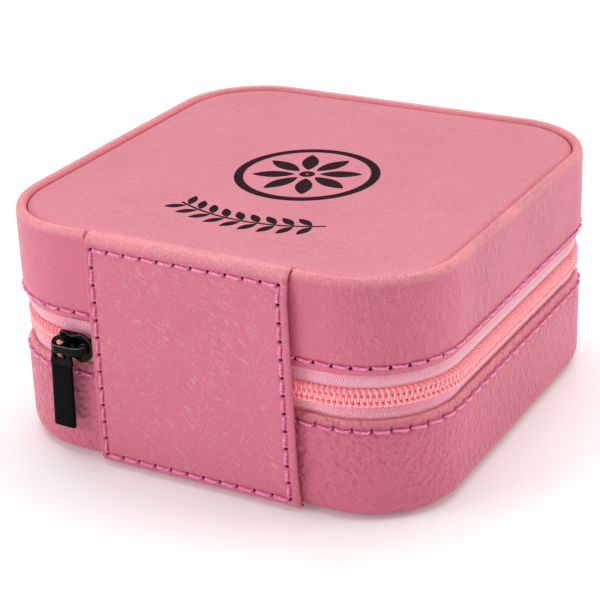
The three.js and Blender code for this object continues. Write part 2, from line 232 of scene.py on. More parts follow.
def outline(s, corner=CORNER):
    """Corner centres and outward normals at distances s along the outer wall.

    s is 0 at the middle of the back and grows towards +X, clockwise from above.
    """
    s = np.asarray(s, float)
    straight = 2 * (HALF - corner)
    quarter = corner * math.pi / 2
    side, along = np.divmod((s + straight / 2) % (4 * (straight + quarter)), straight + quarter)
    facing = math.pi / 2 - side * math.pi / 2
    across = np.minimum(along, straight) - straight / 2
    angle = facing - np.maximum(along - straight, 0) / corner
    centre = np.stack(
        [
            (HALF - corner) * np.cos(facing) + across * np.sin(facing),
            (HALF - corner) * np.sin(facing) - across * np.cos(facing),
        ],
        -1,
    )
    return centre, np.stack([np.cos(angle), np.sin(angle)], -1)


PERIMETER = 4 * (2 * (HALF - CORNER) + CORNER * math.pi / 2)


def around(s, inset, z, corner=CORNER):
    """3-D points at path distance s, inset from the outer wall, at height z."""
    centre, normal = outline(s, corner)
    inset, z = np.broadcast_arrays(np.asarray(inset, float), np.asarray(z, float))
    shape = np.broadcast_shapes(np.shape(s), inset.shape)
    xy = centre + (corner - inset)[..., None] * normal
    xy = np.broadcast_to(xy, (*shape, 2))
    return np.concatenate([xy, np.broadcast_to(z, shape)[..., None]], -1)


def swept(profile, s, dent=None):
    """A closed profile of (inset, z) points carried along the path. dent(s, inset, z) pushes inward."""
    profile = np.asarray(profile, float)
    inset = np.repeat(profile[:, :1], len(s), 1)
    z = np.repeat(profile[:, 1:], len(s), 1)
    if dent is not None:
        inset = inset + dent(s[None, :], inset, z)
    points = around(s[None, :], inset, z)
    return points, grid_faces(len(profile), len(s), close_rows=True, close_columns=True)


def slab(profile, s):
    """A solid disc: an open profile of (inset, z) points round the path, with its ends filled."""
    profile = np.asarray(profile, float)
    return capped_rings(around(s[None, :], profile[:, :1], profile[:, 1:]))


EVEN = spread(0, PERIMETER, 1.0)[:-1]


# ---- Stitching -------------------------------------------------------------------------------

HOLE_OFFSETS = (-0.5, -0.3, -0.15, 0, 0.15, 0.3, 0.5)
STITCH_GAP = 0.4  # from a needle hole's middle to where the thread comes out of it


def edge_holes():
    """Distances along the path of the needle holes on the lid's and base's edges."""
    start = PANEL_HALF - 3
    count = int(round((PERIMETER - 2 * start) / STITCH))
    return np.linspace(start, PERIMETER - start, count + 1)


def seam_dent(holes, seam_z):
    """The dent of an edge seam: a soft valley with a pit at each needle hole."""
    holes = np.asarray(holes)

    def dent(s, inset, z):
        off = z - seam_z
        nearest = np.abs(s - holes[np.abs(s.ravel()[:, None] - holes).argmin(1)].reshape(s.shape))
        valley = 0.16 * np.exp(-((off / 0.6) ** 2)) * (0.65 + 0.35 * np.exp(-((nearest / 0.9) ** 2)))
        pit = 0.7 * np.exp(-((nearest / 0.3) ** 2) - (off / 0.3) ** 2)
        outer = np.clip((0.8 - inset) / 0.2, 0, 1)
        return (valley + pit) * outer

    return dent


def strand_pair(start, end, out, across):
    """Two plies twisted together from one needle hole to the next, over the leather."""
    start, end, out, across = (np.asarray(v, float) for v in (start, end, out, across))
    length = np.linalg.norm(end - start)
    t = np.linspace(0, 1, 19)
    rise = 0.3 * (1 - np.abs(2 * t - 1) ** 5) - 0.5 * np.abs(2 * t - 1) ** 14
    slant = 0.13 * (2 * t - 1) * (1 - np.abs(2 * t - 1) ** 8)
    middle = start + (end - start) * t[:, None] + rise[:, None] * out + slant[:, None] * across
    turn = 2 * math.pi * t * length / 1.25
    plies = []
    for phase in (0, math.pi):
        offset = 0.135 * (np.cos(turn + phase)[:, None] * across + np.sin(turn + phase)[:, None] * out)
        plies.append(tube(middle + offset, 0.17, sides=7, up=out))
    return plies


def edge_stitches(holes, seam_z):
    """The thread of an edge seam."""
    parts = []
    for a, b in zip(holes, holes[1:]):
        _, normal = outline(np.array([(a + b) / 2]))
        ends = around(np.array([a + STITCH_GAP, b - STITCH_GAP]), 0.2, seam_z)
        parts += strand_pair(ends[0], ends[1], (*normal[0], 0), (0, 0, 1))
    return parts


# ---- Materials -------------------------------------------------------------------------------


class Surface:
    """A procedural material. Its textures read object coordinates, which are the row frame."""

    def __init__(self, name, colour, **sockets):
        self.material = bpy.data.materials.new(name)
        self.material.use_nodes = True
        self.tree = self.material.node_tree
        self.shader = self.tree.nodes["Principled BSDF"]
        self.colour = (*colour, 1)
        self.shader.inputs["Base Color"].default_value = self.colour
        for socket, value in sockets.items():
            self.shader.inputs[socket.replace("_", " ")].default_value = value
        self.place = self.node("ShaderNodeTexCoord").outputs["Object"]
        self.normal = None

    def node(self, kind, values=(), **settings):
        """A node with attributes set from settings, and its sockets set or linked from values."""
        made = self.tree.nodes.new(kind)
        for key, value in settings.items():
            setattr(made, key, value)
        for socket, value in dict(values).items():
            if isinstance(value, bpy.types.NodeSocket):
                self.tree.links.new(value, made.inputs[socket])
            else:
                made.inputs[socket].default_value = value
        return made

    def stretched(self, scale, turn=(0, 0, 0)):
        """Coordinates turned to lie along a direction, then scaled by axis."""
        values = {"Vector": self.place, "Scale": [1 / part for part in scale], "Rotation": turn}
        return self.node("ShaderNodeMapping", values, vector_type="TEXTURE").outputs["Vector"]

    def noise(self, scale, detail=2.0, at=None, distortion=0.0):
        """Cloudy noise, of a number of clouds in a metre."""
        values = {"Vector": at or self.place, "Scale": scale, "Detail": detail, "Distortion": distortion}
        return self.node("ShaderNodeTexNoise", values).outputs["Fac"]

    def cells(self, scale, feature="F1"):
        """Round cells, of a number in a metre."""
        values = {"Vector": self.place, "Scale": scale}
        return self.node("ShaderNodeTexVoronoi", values, feature=feature).outputs["Distance"]

    def ramp(self, value, low, high, to_low=0.0, to_high=1.0):
        """value rescaled from low..high to to_low..to_high, and clamped."""
        values = {"Value": value, "From Min": low, "From Max": high, "To Min": to_low, "To Max": to_high}
        return self.node("ShaderNodeMapRange", values).outputs["Result"]

    def times(self, a, b):
        """The product of two values."""
        return self.node("ShaderNodeMath", {0: a, 1: b}, operation="MULTIPLY").outputs[0]

    def axis(self, name):
        """One of the row frame's coordinates."""
        return self.node("ShaderNodeSeparateXYZ", {0: self.place}).outputs[name]

    def painted(self, name):
        """A value stored on the mesh's points."""
        return self.node("ShaderNodeAttribute", attribute_name=name).outputs["Fac"]

    def tint(self, amount, colour):
        """Mixes a colour into the base colour by amount, a socket."""
        values = {0: amount, 6: self.colour, 7: (*colour, 1)}
        mixed = self.node("ShaderNodeMix", values, data_type="RGBA")
        self.colour = mixed.outputs[2]
        self.tree.links.new(self.colour, self.shader.inputs["Base Color"])

    def mottle(self, pattern, low, high, share, colour):
        """Tints by a share where a pattern rises from low to high."""
        self.tint(self.ramp(pattern, low, high, 0.0, share), colour)

    def bump(self, height, depth):
        """Adds relief of a depth in millimetres."""
        values = {"Height": height, "Distance": depth * MM, "Strength": 1.0}
        if self.normal is not None:
            values["Normal"] = self.normal
        self.normal = self.node("ShaderNodeBump", values).outputs["Normal"]
        self.tree.links.new(self.normal, self.shader.inputs["Normal"])

    def add_glow(self, colour, strength):
        """Adds emitted light of a colour and strength: painted light on parts that are no lamp, an even
        brightness on the floor.
        """
        self.shader.inputs["Emission Color"].default_value = (*colour, 1)
        self.shader.inputs["Emission Strength"].default_value = strength

    def dull(self, value):
        """No gloss where the value is 1."""
        level = self.shader.inputs["Specular IOR Level"]
        self.tree.links.new(self.ramp(value, 0.0, 0.8, level.default_value, 0.0), level)

    def rough(self, value, low, high):
        """Roughness from low to high, by a pattern."""
        self.tree.links.new(self.ramp(value, 0.3, 0.7, low, high), self.shader.inputs["Roughness"])


PINK = (0.745, 0.157, 0.254)
# The hinge panel's pink is a lighter copy of PINK: painted light that makes up for light the panel lacks.
PINK_LIT_PANEL = (0.77, 0.178, 0.278)
PINK_DEEP = (0.62, 0.115, 0.20)
PINK_PALE = (0.86, 0.36, 0.44)
# The lid top's pink is PINK made lighter and yellower: painted light and reflection on the top.
PINK_LIT_TOP = (0.755, 0.245, 0.305)
PINK_RIM_HIGHLIGHT = (0.96, 0.34, 0.37)
# the colour of the painted shade inside a needle hole
HOLE_SHADE = (0.010, 0.002, 0.004)


def leather(name, base=PINK, grain=1.0, marks=(), highlight_band=None):
    """Pink leatherette: fine grain, mottling, a painted highlight band, painted shade in its needle holes and
    the marks of the part it covers.
    """
    surface = Surface(name, base, Roughness=0.4, Specular_IOR_Level=0.45, Sheen_Weight=0.04)
    # painted highlight: the leather is tinted paler in a band of heights where light falls on a rim or lip
    if highlight_band:
        surface.tint(surface.ramp(surface.axis("Z"), highlight_band[0] * MM, highlight_band[1] * MM), PINK_RIM_HIGHLIGHT)
    surface.mottle(surface.noise(45, 3), 0.35, 0.7, 0.2, PINK_DEEP)
    surface.mottle(surface.noise(2400, 2), 0.48, 0.66, 0.25, PINK_PALE)
    surface.mottle(surface.noise(2900, 2), 0.48, 0.66, 0.42, PINK_DEEP)
    surface.bump(surface.noise(900, 3), 0.06 * grain)
    surface.bump(surface.noise(2500, 2), 0.13 * grain)
    surface.bump(surface.cells(1250, "SMOOTH_F1"), 0.035 * grain)
    for mark in marks:
        mark(surface)
    # painted shade in the needle holes, read from the pit attribute, with the gloss taken off there too
    surface.tint(surface.painted("pit"), HOLE_SHADE)
    surface.rough(surface.noise(600, 3), 0.33, 0.46)
    surface.dull(surface.painted("pit"))
    return surface.material


def creases(surface):
    """Fine drawn lines down the -X wall."""
    side = surface.ramp(surface.axis("X"), -0.022, -0.046)
    patches = surface.ramp(surface.noise(42, 2), 0.36, 0.6, 0.2, 1.0)
    lines = surface.noise(1.0, 3, surface.stretched((1300, 1300, 270), (-0.3, 0, 0)), 0.7)
    crease = surface.times(surface.times(surface.ramp(lines, 0.44, 0.62), side), patches)
    surface.bump(crease, 0.2)
    surface.tint(surface.times(crease, 0.22), PINK_PALE)


def drawn_lines(surface):
    """Faint slanting lines in patches, as on stretched leather."""
    patches = surface.ramp(surface.noise(36, 2), 0.40, 0.62, 0.1, 1.0)
    lines = surface.noise(1.0, 3, surface.stretched((330, 1350, 1350), (0, 0, 0.55)), 0.9)
    surface.bump(surface.times(surface.ramp(lines, 0.42, 0.64), patches), 0.11)


def pebbles(surface):
    """A coarser grain in patches."""
    patch = surface.ramp(surface.noise(28, 2), 0.28, 0.46, 0.25, 1.0)
    pebble = surface.times(surface.ramp(surface.cells(880, "SMOOTH_F1"), 0.15, 0.75), patch)
    surface.bump(pebble, 0.42)
    surface.tint(surface.times(pebble, 0.1), PINK_DEEP)


def scratches(surface):
    """Short faint scratches in three directions, and small rubbed flecks."""
    for turn, size in ((0.75, 1.0), (1.15, 0.8), (-0.4, 1.3)):
        at = surface.stretched((2100 * size, 2100 * size, 330 * size), (0, turn, 0))
        stroke = surface.ramp(surface.noise(1.0, 1, at), 0.61, 0.68)
        where = surface.ramp(surface.noise(85, 2, surface.stretched((1, 1, 1), (turn, 0, 1))), 0.48, 0.6)
        stroke = surface.times(stroke, where)
        surface.tint(surface.times(stroke, 0.62), PINK_PALE)
        surface.bump(stroke, 0.06)
    flecks = surface.ramp(surface.noise(620, 3, distortion=1.4), 0.60, 0.66)
    surface.tint(surface.times(flecks, 0.32), PINK_PALE)
    surface.bump(flecks, 0.06)


def thread():
    """Glossy magenta polyester thread."""
    surface = Surface("stitching_thread", (0.90, 0.19, 0.44), Roughness=0.28, Specular_IOR_Level=0.9)
    # painted glow: the thread gives off faint light though it is no lamp
    surface.add_glow((1.0, 0.04, 0.35), 0.06)
    # painted glints: pale patches on the thread stand for its highlights
    surface.mottle(surface.noise(2600, 2), 0.44, 0.68, 0.7, (1.0, 0.68, 0.86))
    surface.bump(surface.noise(5200, 2), 0.03)
    return surface.material


def tape_cloth():
    """Woven polyester with a fine weave: its rib crests are painted pale as highlights and the pink between
    them is painted shade.
    """
    surface = Surface("zip_tape", (0.97, 0.25, 0.40), Roughness=0.7, Sheen_Weight=0.2)
    # painted glow: the tape gives off faint light though it is no lamp
    surface.add_glow((1.0, 0.33, 0.43), 0.11)
    # painted highlight on the rib crests and painted shade between them
    surface.mottle(surface.painted("rib"), 0.35, 0.85, 0.95, (1.0, 0.87, 0.93))
    surface.mottle(surface.noise(3300, 2), 0.5, 0.62, 0.5, (1.0, 0.66, 0.78))
    surface.bump(surface.noise(3300, 2), 0.1)
    return surface.material


def nylon():
    """The glossy pink nylon of the coil and its sewing."""
    surface = Surface("zip_coil", (1.0, 0.43, 0.49), Roughness=0.24, Specular_IOR_Level=0.9)
    # painted glow: the coil gives off faint light to brighten its shaded turns, though it is no lamp
    surface.add_glow((1.0, 0.06, 0.09), 0.14)
    surface.mottle(surface.noise(1400, 2), 0.42, 0.66, 0.5, (1.0, 0.76, 0.80))
    surface.bump(surface.noise(2600, 2), 0.02)
    return surface.material


def filler_cord():
    """The filler cord inside the coil, coloured deep red as painted shade where it shows between the coil's
    turns, with a faint painted glow.
    """
    surface = Surface("zip_cord", (0.85, 0.045, 0.05), Roughness=0.7)
    surface.add_glow((1.0, 0.05, 0.04), 0.03)
    surface.mottle(surface.noise(2400, 2), 0.4, 0.7, 0.6, (1.0, 0.16, 0.15))
    surface.bump(surface.noise(3000, 2), 0.05)
    return surface.material


def velvet(name, colour, pale):
    """Short pile: soft sheen, brushed patches and a fine nap."""
    surface = Surface(name, colour, Roughness=0.95, Sheen_Weight=0.7, Sheen_Roughness=0.4)
    surface.mottle(surface.noise(60, 3, distortion=0.7), 0.35, 0.7, 0.45, pale)
    surface.mottle(surface.noise(4200, 1), 0.35, 0.7, 0.35, pale)
    surface.bump(surface.noise(3800, 2), 0.12)
    return surface.material


def satin_cloth():
    """Satin, with long floats of yarn that catch the light."""
    surface = Surface("pocket_satin", (0.72, 0.26, 0.34), Roughness=0.42, Sheen_Weight=0.25)
    weave = surface.noise(1.0, 1, surface.stretched((5200, 900, 900)))
    surface.mottle(weave, 0.35, 0.7, 0.5, (0.85, 0.42, 0.48))
    surface.bump(weave, 0.04)
    return surface.material


def greyboard():
    """Pressed greyboard, for the two trays."""
    surface = Surface("greyboard", (0.34, 0.28, 0.23), Roughness=0.92)
    surface.mottle(surface.noise(900, 4), 0.35, 0.7, 0.6, (0.50, 0.43, 0.36))
    surface.bump(surface.noise(1500, 3), 0.08)
    return surface.material


def foam():
    """Open-celled padding foam."""
    surface = Surface("pad_foam", (0.80, 0.76, 0.66), Roughness=0.95)
    surface.tint(surface.ramp(surface.cells(1300), 0.1, 0.6, 0.6, 0.0), (0.55, 0.50, 0.40))
    surface.bump(surface.cells(1300), 0.2)
    return surface.material


def black_metal(name, gloss):
    """Black paint on cast metal, with painted highlight lines along marked edges."""
    surface = Surface(name, (0.0025, 0.0022, 0.0025), Roughness=0.1, Specular_IOR_Level=gloss)
    surface.mottle(surface.noise(700, 3), 0.5, 0.8, 0.5, (0.006, 0.0055, 0.006))
    # painted highlight: marked edges are tinted grey to show as bright lines
    surface.tint(surface.times(surface.painted("painted_edge_highlight"), 0.8), (0.30, 0.27, 0.25))
    surface.bump(surface.noise(380, 2), 0.012)
    surface.rough(surface.noise(500, 3), 0.07, 0.13)
    return surface.material


def nickel():
    """Plated snap hardware."""
    surface = Surface("nickel", (0.72, 0.69, 0.66), Metallic=1.0, Roughness=0.25)
    surface.mottle(surface.noise(500, 3), 0.45, 0.8, 0.5, (0.52, 0.49, 0.47))
    surface.bump(surface.noise(1800, 2), 0.01)
    surface.rough(surface.noise(900, 3), 0.18, 0.34)
    return surface.material


def engraving():
    """The dark finish of the lid's ornament."""
    surface = Surface("dark_engraving", (0.020, 0.005, 0.008), Roughness=0.8, Specular_IOR_Level=0.12)
    surface.mottle(surface.noise(2000, 3), 0.45, 0.75, 0.5, (0.042, 0.009, 0.014))
    surface.bump(surface.noise(1500, 3), 0.03)
    return surface.material


RIM_HIGHLIGHT_BAND = (LID_TOP - 2.0, LID_TOP - 0.6)  # heights of the rim's painted highlight, where the leather is tinted paler
# heights of the base lip's painted highlight, where the leather is tinted paler
LIP_HIGHLIGHT_BAND = (BASE_EDGE - 1.3, BASE_EDGE - 0.1)
SIDE_LEATHER = leather("leather_sides", marks=[creases], highlight_band=RIM_HIGHLIGHT_BAND)
BASE_LEATHER = leather("leather_base", marks=[pebbles], highlight_band=LIP_HIGHLIGHT_BAND)
TOP_LEATHER = leather("leather_top", PINK_LIT_TOP, grain=0.9, marks=[drawn_lines])
PANEL_LEATHER = leather("leather_panel", PINK_LIT_PANEL, marks=[scratches], highlight_band=RIM_HIGHLIGHT_BAND)
THREAD = thread()
TAPE = tape_cloth()
NYLON = nylon()
CORD = filler_cord()
VELVET = velvet("velvet_lining", (0.58, 0.22, 0.27), (0.74, 0.38, 0.42))
ROLL_VELVET = velvet("velvet_rolls", (0.62, 0.25, 0.30), (0.78, 0.42, 0.46))
SATIN = satin_cloth()
BOARD = greyboard()
FOAM = foam()
BLACK = black_metal("black_metal", 0.10)
TAB_BLACK = black_metal("black_metal_tab", 0.05)
NICKEL = nickel()
ENGRAVED = engraving()


def paint(thing, name, values):
    """Stores a value per point for a material to read."""
    layer = thing.data.attributes.new(name, "FLOAT", "POINT")
    layer.data.foreach_set("value", np.asarray(values, np.float32).ravel())


# ---- Leather covers --------------------------------------------------------------------------

PIT_CORE = 0.21
PIT_FADE = 0.22  # how far beyond its core a needle hole's shade fades out
EDGE_PIT_SIZE = 1.35  # how much larger the edge seams' holes are than the panel's
EDGE_PIT_DEPTH = 0.35
EDGE_PIT_SHIFT = 0.16  # from the thread towards the zip


def painted_hole_shade(gap, size=1.0):
    """Painted shade of a needle hole: 1 in its core, fading to 0 round it."""
    return np.clip(1 - (gap / size - PIT_CORE) / PIT_FADE, 0, 1)


def paint_hole_shade(thing, points, holes_at, size=1.0):
    """Paints shade on the points that lie in a needle hole."""
    points = np.asarray(points).reshape(-1, 3)
    dark = np.zeros(len(points))
    for hole in holes_at:
        near = np.abs(points - hole).max(1) < 1.0
        gap = np.linalg.norm(points[near] - hole, axis=1)
        dark[near] = np.maximum(dark[near], painted_hole_shade(gap, size))
    paint(thing, "pit", dark)


def edge_cover(names, profile, seam_z, material, reshape=np.array):
    """A side cover with its sewn edge and its thread, from the names of its piece, body and CAD node."""
    name, body, node = names
    holes = edge_holes()
    s = spread(0, PERIMETER, 1.2, holes, HOLE_OFFSETS)[:-1]
    points, faces = swept(profile, s, dent=seam_dent(holes, seam_z))
    cover = mesh_object(name, [(reshape(points), faces)], material)
    pit_z = seam_z + math.copysign(EDGE_PIT_SHIFT, ZIP_Z - seam_z)
    paint_hole_shade(cover, points, around(holes, EDGE_PIT_DEPTH, pit_z), EDGE_PIT_SIZE)
    place(cover, body, "leatherette", node)
    sewn = mesh_object(name.replace("cover", "stitching"), edge_stitches(holes, seam_z), THREAD)
    place(sewn, body, "leatherette")


def edge_profile(edge, seam_z):
    """The rolled leather edge beside the zip, from its inner lip out to the wall. Works both ways up."""
    way = 1 if seam_z > edge else -1
    lip = [(1.95, 2.2), (1.9, 1.2)]
    roll = [(1.72, 0.5), (1.3, 0.08), (0.85, 0.1), (0.52, 0.5), (0.36, 1.0), (0.24, 1.6)]
    wall = [(0.2, SEAM_INSET - 0.25), (0.17, SEAM_INSET), (0.14, SEAM_INSET + 0.3)]
    fade = [(0.08, SEAM_INSET + 1.2), (0.02, SEAM_INSET + 2.6)]
    return [(inset, edge + way * rise) for inset, rise in lip + roll + wall + fade]


def dense_seam(line, seam_z):
    """Adds rows to a profile close to its seam."""
    rows = []
    for a, b in zip(line, line[1:]):
        near = abs((a[1] + b[1]) / 2 - seam_z) < 0.75
        count = max(1, int(round(np.linalg.norm(b - a) / 0.13))) if near else 1
        rows += [a + (b - a) * i / count for i in range(count)]
    return np.array([*rows, line[-1]])


def lid_cover():
    """The lid's side cover, from its edge by the zip up over the rim and down into the top seam."""
    top = LID_TOP
    outer = edge_profile(LID_EDGE, LID_SEAM) + [(0, 38.5), (0, 42), (0, 46.5), (0, top - 2.2)]
    rim = [(0.05, top - 1.35), (0.26, top - 0.66), (0.68, top - 0.2), (1.2, top - 0.02)]
    fall = [(1.65, top - 0.12), (2.02, top - 0.5), (2.24, top - 1.0), (2.3, top - 1.6)]
    line = dense_seam(smooth_line(outer + rim + fall, 0.35), LID_SEAM)
    turned_in = [(2.32, 49.6), (1.75, 49.6), (1.7, 50.25), (1.25, 50.45), (0.97, 50.2)]
    inner = [(LEATHER, 49.6), (LEATHER, 34.6)]
    profile = np.vstack([line, turned_in, inner])
    names = ("lid_side_cover_leather", "lid", "lid_side_cover")
    edge_cover(names, profile, LID_SEAM, SIDE_LEATHER, pressed_rim)


def pressed_rim(points):
    """The rim is pressed down where the hinge panel turns in over it."""
    x, y, z = points[..., 0], points[..., 1], points[..., 2]
    across = np.clip((PANEL_HALF + 0.85 - np.abs(x)) / 0.5, 0, 1)
    height = np.clip((z - 48.0) / 3.0, 0, 1)
    points[..., 2] = z - np.where(y > 0, 1.15 * across * height**2 * (3 - 2 * height), 0)
    return points


def base_cover():
    """The base's side cover, turned under at its foot, and the bottom panel."""
    outer = edge_profile(BASE_EDGE, BASE_SEAM) + [(0, 14.5), (0, 9), (0, 4.2), (0.15, 2.9)]
    foot = [(0.62, 1.65), (1.5, 0.75), (2.7, 0.42), (4.3, BASE_LOW)]
    line = dense_seam(smooth_line(outer + foot, 0.45), BASE_SEAM)
    inner = [(4.3, 1.1), (2.6, 1.25), (1.4, 2.2), (LEATHER, 3.6), (LEATHER, 18.2)]
    profile = np.vstack([line, inner])
    edge_cover(("base_side_cover_leather", "base", "base_side_cover"), profile, BASE_SEAM, BASE_LEATHER)
    bottom = slab([(4.9, 0.06), (4.65, 0.0), (4.55, 0.2), (4.5, 0.9), (4.8, 1.0)], EVEN)
    panel = mesh_object("base_bottom_leather", [bottom], BASE_LEATHER)
    place(panel, "base", "leatherette", "base_bottom_panel")


# ---- Padded lid top and its ornament ---------------------------------------------------------

TOP_EDGE = 2.55
TOP_LOW = LID_TOP - 1.25


def top_height(x, y):
    """Height of the padded lid top: a steep edge in the seam, then a low crown."""
    inset = HALF - wall_distance(x, y)
    edge = 1 - np.exp(-np.clip(inset - TOP_EDGE, 0, None) / 0.75)
    crown = 1 - np.exp(-np.clip(inset - TOP_EDGE, 0, None) / 9.0)
    return TOP_LOW + 0.7 * edge + 0.5 * crown


def wall_distance(x, y):
    """How far out a point lies, as the half width of the rounded square through it."""
    core = HALF - CORNER
    dx = np.abs(x) - core
    dy = np.abs(y) - core
    outside = np.hypot(np.clip(dx, 0, None), np.clip(dy, 0, None))
    return core + outside + np.minimum(np.maximum(dx, dy), 0)


def lid_top():
    """The padded top, from its turned-down edge in the seam to its middle."""
    rows = [TOP_EDGE + 0.06 * i**1.9 for i in range(13)]
    points = [around(EVEN, rows[0], z) for z in (49.45, TOP_LOW - 0.1)]
    for inset in rows:
        ring = around(EVEN, inset, 0.0)
        ring[:, 2] = top_height(ring[:, 0], ring[:, 1])
        points.append(ring)
    last = points[-1]
    for share in np.linspace(0, 1, 26)[1:-1]:
        ring = last * (1 - share)
        ring[:, 2] = top_height(ring[:, 0], ring[:, 1])
        points.append(ring)
    count = len(EVEN)
    faces = grid_faces(len(points), count, close_columns=True)
    centre = np.array([[0, 0, top_height(np.zeros(1), np.zeros(1))[0]]])
    start = (len(points) - 1) * count
    faces += [[start + i, start + (i + 1) % count, len(points) * count] for i in range(count)]
    faces.append(list(range(count)))
    everything = np.vstack([np.concatenate(points), centre])
    top = mesh_object("lid_top_leather", [(everything, faces)], TOP_LEATHER)
    place(top, "lid", "leatherette", "lid_top_panel")


def inlay(edges, thickness=0.07):
    """A thin solid between two outlines of matching (x, y) points, following the lid top."""
    inner, outer = (np.asarray(e, float) for e in edges)
    share = np.linspace(0, 1, 5)[:, None, None]
    sheet_xy = inner[None] + share * (outer - inner)[None]
    z = top_height(sheet_xy[..., 0], sheet_xy[..., 1])
    rows, columns = sheet_xy.shape[:2]
    upper = np.concatenate([sheet_xy, (z + 0.02)[..., None]], -1)
    lower = np.concatenate([sheet_xy, (z + 0.02 - thickness)[..., None]], -1)
    loop = np.concatenate([upper, lower[::-1]])
    faces = grid_faces(2 * rows, columns, close_rows=True)
    for column in (0, columns - 1):
        faces += [
            [r * columns + column, (r + 1) * columns + column]
            + [(2 * rows - 2 - r) * columns + column, (2 * rows - 1 - r) * columns + column]
            for r in range(rows - 1)
        ]
    return loop.reshape(-1, 3), faces


def polar(centre, radius, angle):
    """Points at an angle and a radius from a centre."""
    return np.stack([centre[0] + radius * np.cos(angle), centre[1] + radius * np.sin(angle)], -1)


def leaf(centre, angle, length, width, start=0.0):
    """The two edges of a pointed leaf growing from a point at an angle."""
    t = np.linspace(0, 1, 17)
    along = start + length * t
    half = width / 2 * np.sin(math.pi * t) ** 0.8 + 0.02
    direction = np.array([math.cos(angle), math.sin(angle)])
    across = np.array([-direction[1], direction[0]])
    middle = np.asarray(centre) + along[:, None] * direction
    return middle - half[:, None] * across, middle + half[:, None] * across


def ornament():
    """A plain ring round an eight-petalled flower, with a curved leafy sprig below it."""
    centre = (-1.8, 3.0)
    turn = np.linspace(0, 2 * math.pi, 97)
    parts = [inlay((polar(centre, 13.6, turn), polar(centre, 15.6, turn)))]
    parts.append(inlay((polar(centre, 0.3, turn), polar(centre, 1.7, turn))))
    for i in range(8):
        parts.append(inlay(leaf(centre, math.radians(22.5 + 45 * i), 9.2, 3.6, 2.6)))
    stem_centre = (-2.5, -4.0)
    sweep_angle = np.radians(np.linspace(62, 118, 49))
    parts.append(inlay((polar(stem_centre, 35.3, sweep_angle), polar(stem_centre, 35.9, sweep_angle))))
    for i, degrees in enumerate(np.linspace(66, 114, 9)):
        angle = math.radians(degrees)
        foot = polar(stem_centre, 35.6, np.array([angle]))[0]
        lean = math.radians(38)
        parts.append(inlay(leaf(foot, angle - lean, 4.6, 1.9, 0.5)))
        parts.append(inlay(leaf(foot, angle + math.pi + lean, 4.6, 1.9, 0.5)))
    badge = mesh_object("lid_ornament", parts, ENGRAVED)
    place(badge, "lid", "leatherette")


# ---- Hinge panel -----------------------------------------------------------------------------


def panel_route():
    """The panel's inner face in (y, z): over the rim, down the wall and under the base."""
    wall = HALF + PANEL_STAND
    top = LID_TOP - 0.8
    over = [(47.5, top - 0.95), (47.56, top - 0.45), (47.9, top - 0.12), (48.6, top), (49.3, top - 0.1)]
    bend = [(49.85, top - 0.45), (50.18, top - 1.0), (wall, top - 1.75)]
    down = [(wall, 46), (wall, 36), (wall, 26), (wall, 15), (wall, 5), (wall, 2.2)]
    under = [(wall - 0.14, 1.5), (wall - 0.6, 1.02), (wall - 1.3, 0.82)]
    return smooth_line(over + bend + down + under, 0.25)


def hand_cut(points):
    """The strip isn't cut quite straight: its right side runs outward towards its foot."""
    x, drop = points[..., 0], 1 - points[..., 2] / PANEL_ROWS[1]
    right = np.clip(-x / PANEL_SEAM, 0, 1) ** 2
    margin = np.clip((-x - PANEL_SEAM) / 1.5, 0, 1)
    points[..., 0] = x - 0.13 - 0.75 * right * drop - (0.35 + 0.5 * drop) * margin
    return points


def panel_samples(route):
    """Distances along the route, denser at the needle holes, and the route's points and normals there."""
    steps = np.linalg.norm(np.diff(route, axis=0), axis=1)
    length = np.concatenate([[0], np.cumsum(steps)])
    on_wall = (route[:, 1] < 48.8) & (route[:, 1] > 2.1)
    heights = np.linspace(PANEL_ROWS[1], PANEL_ROWS[0], 13)
    rows = np.interp(-heights, -route[on_wall, 1], length[on_wall])
    samples = spread(0, length[-1], 0.7, rows, HOLE_OFFSETS)
    middle = np.stack([np.interp(samples, length, route[:, i]) for i in (0, 1)], -1)
    tangent = tangents_along(middle)
    out = np.stack([-tangent[:, 1], tangent[:, 0]], -1)
    return samples, middle, out, rows


def panel_dent(x, t, rows, columns):
    """Valleys along the four seams with a pit at each hole."""
    side = np.abs(np.abs(x) - PANEL_SEAM)
    inside_t = (t > rows[0] - 0.4) & (t < rows[-1] + 0.4)
    inside_x = np.abs(x) < PANEL_SEAM + 0.4
    ends = np.minimum(np.abs(t - rows[0]), np.abs(t - rows[-1]))
    line = np.minimum(np.where(inside_t, side, 9.0), np.where(inside_x, ends, 9.0))
    to_row = np.abs(t[..., None] - rows).min(-1)
    to_column = np.abs(x[..., None] - columns).min(-1)
    side_pit = np.hypot(side, to_row)
    end_pit = np.hypot(ends, to_column)
    hole = np.minimum(np.where(inside_t, side_pit, 9.0), np.where(inside_x, end_pit, 9.0))
    return 0.17 * np.exp(-((line / 0.55) ** 2)) + 0.72 * np.exp(-((hole / 0.3) ** 2)), hole


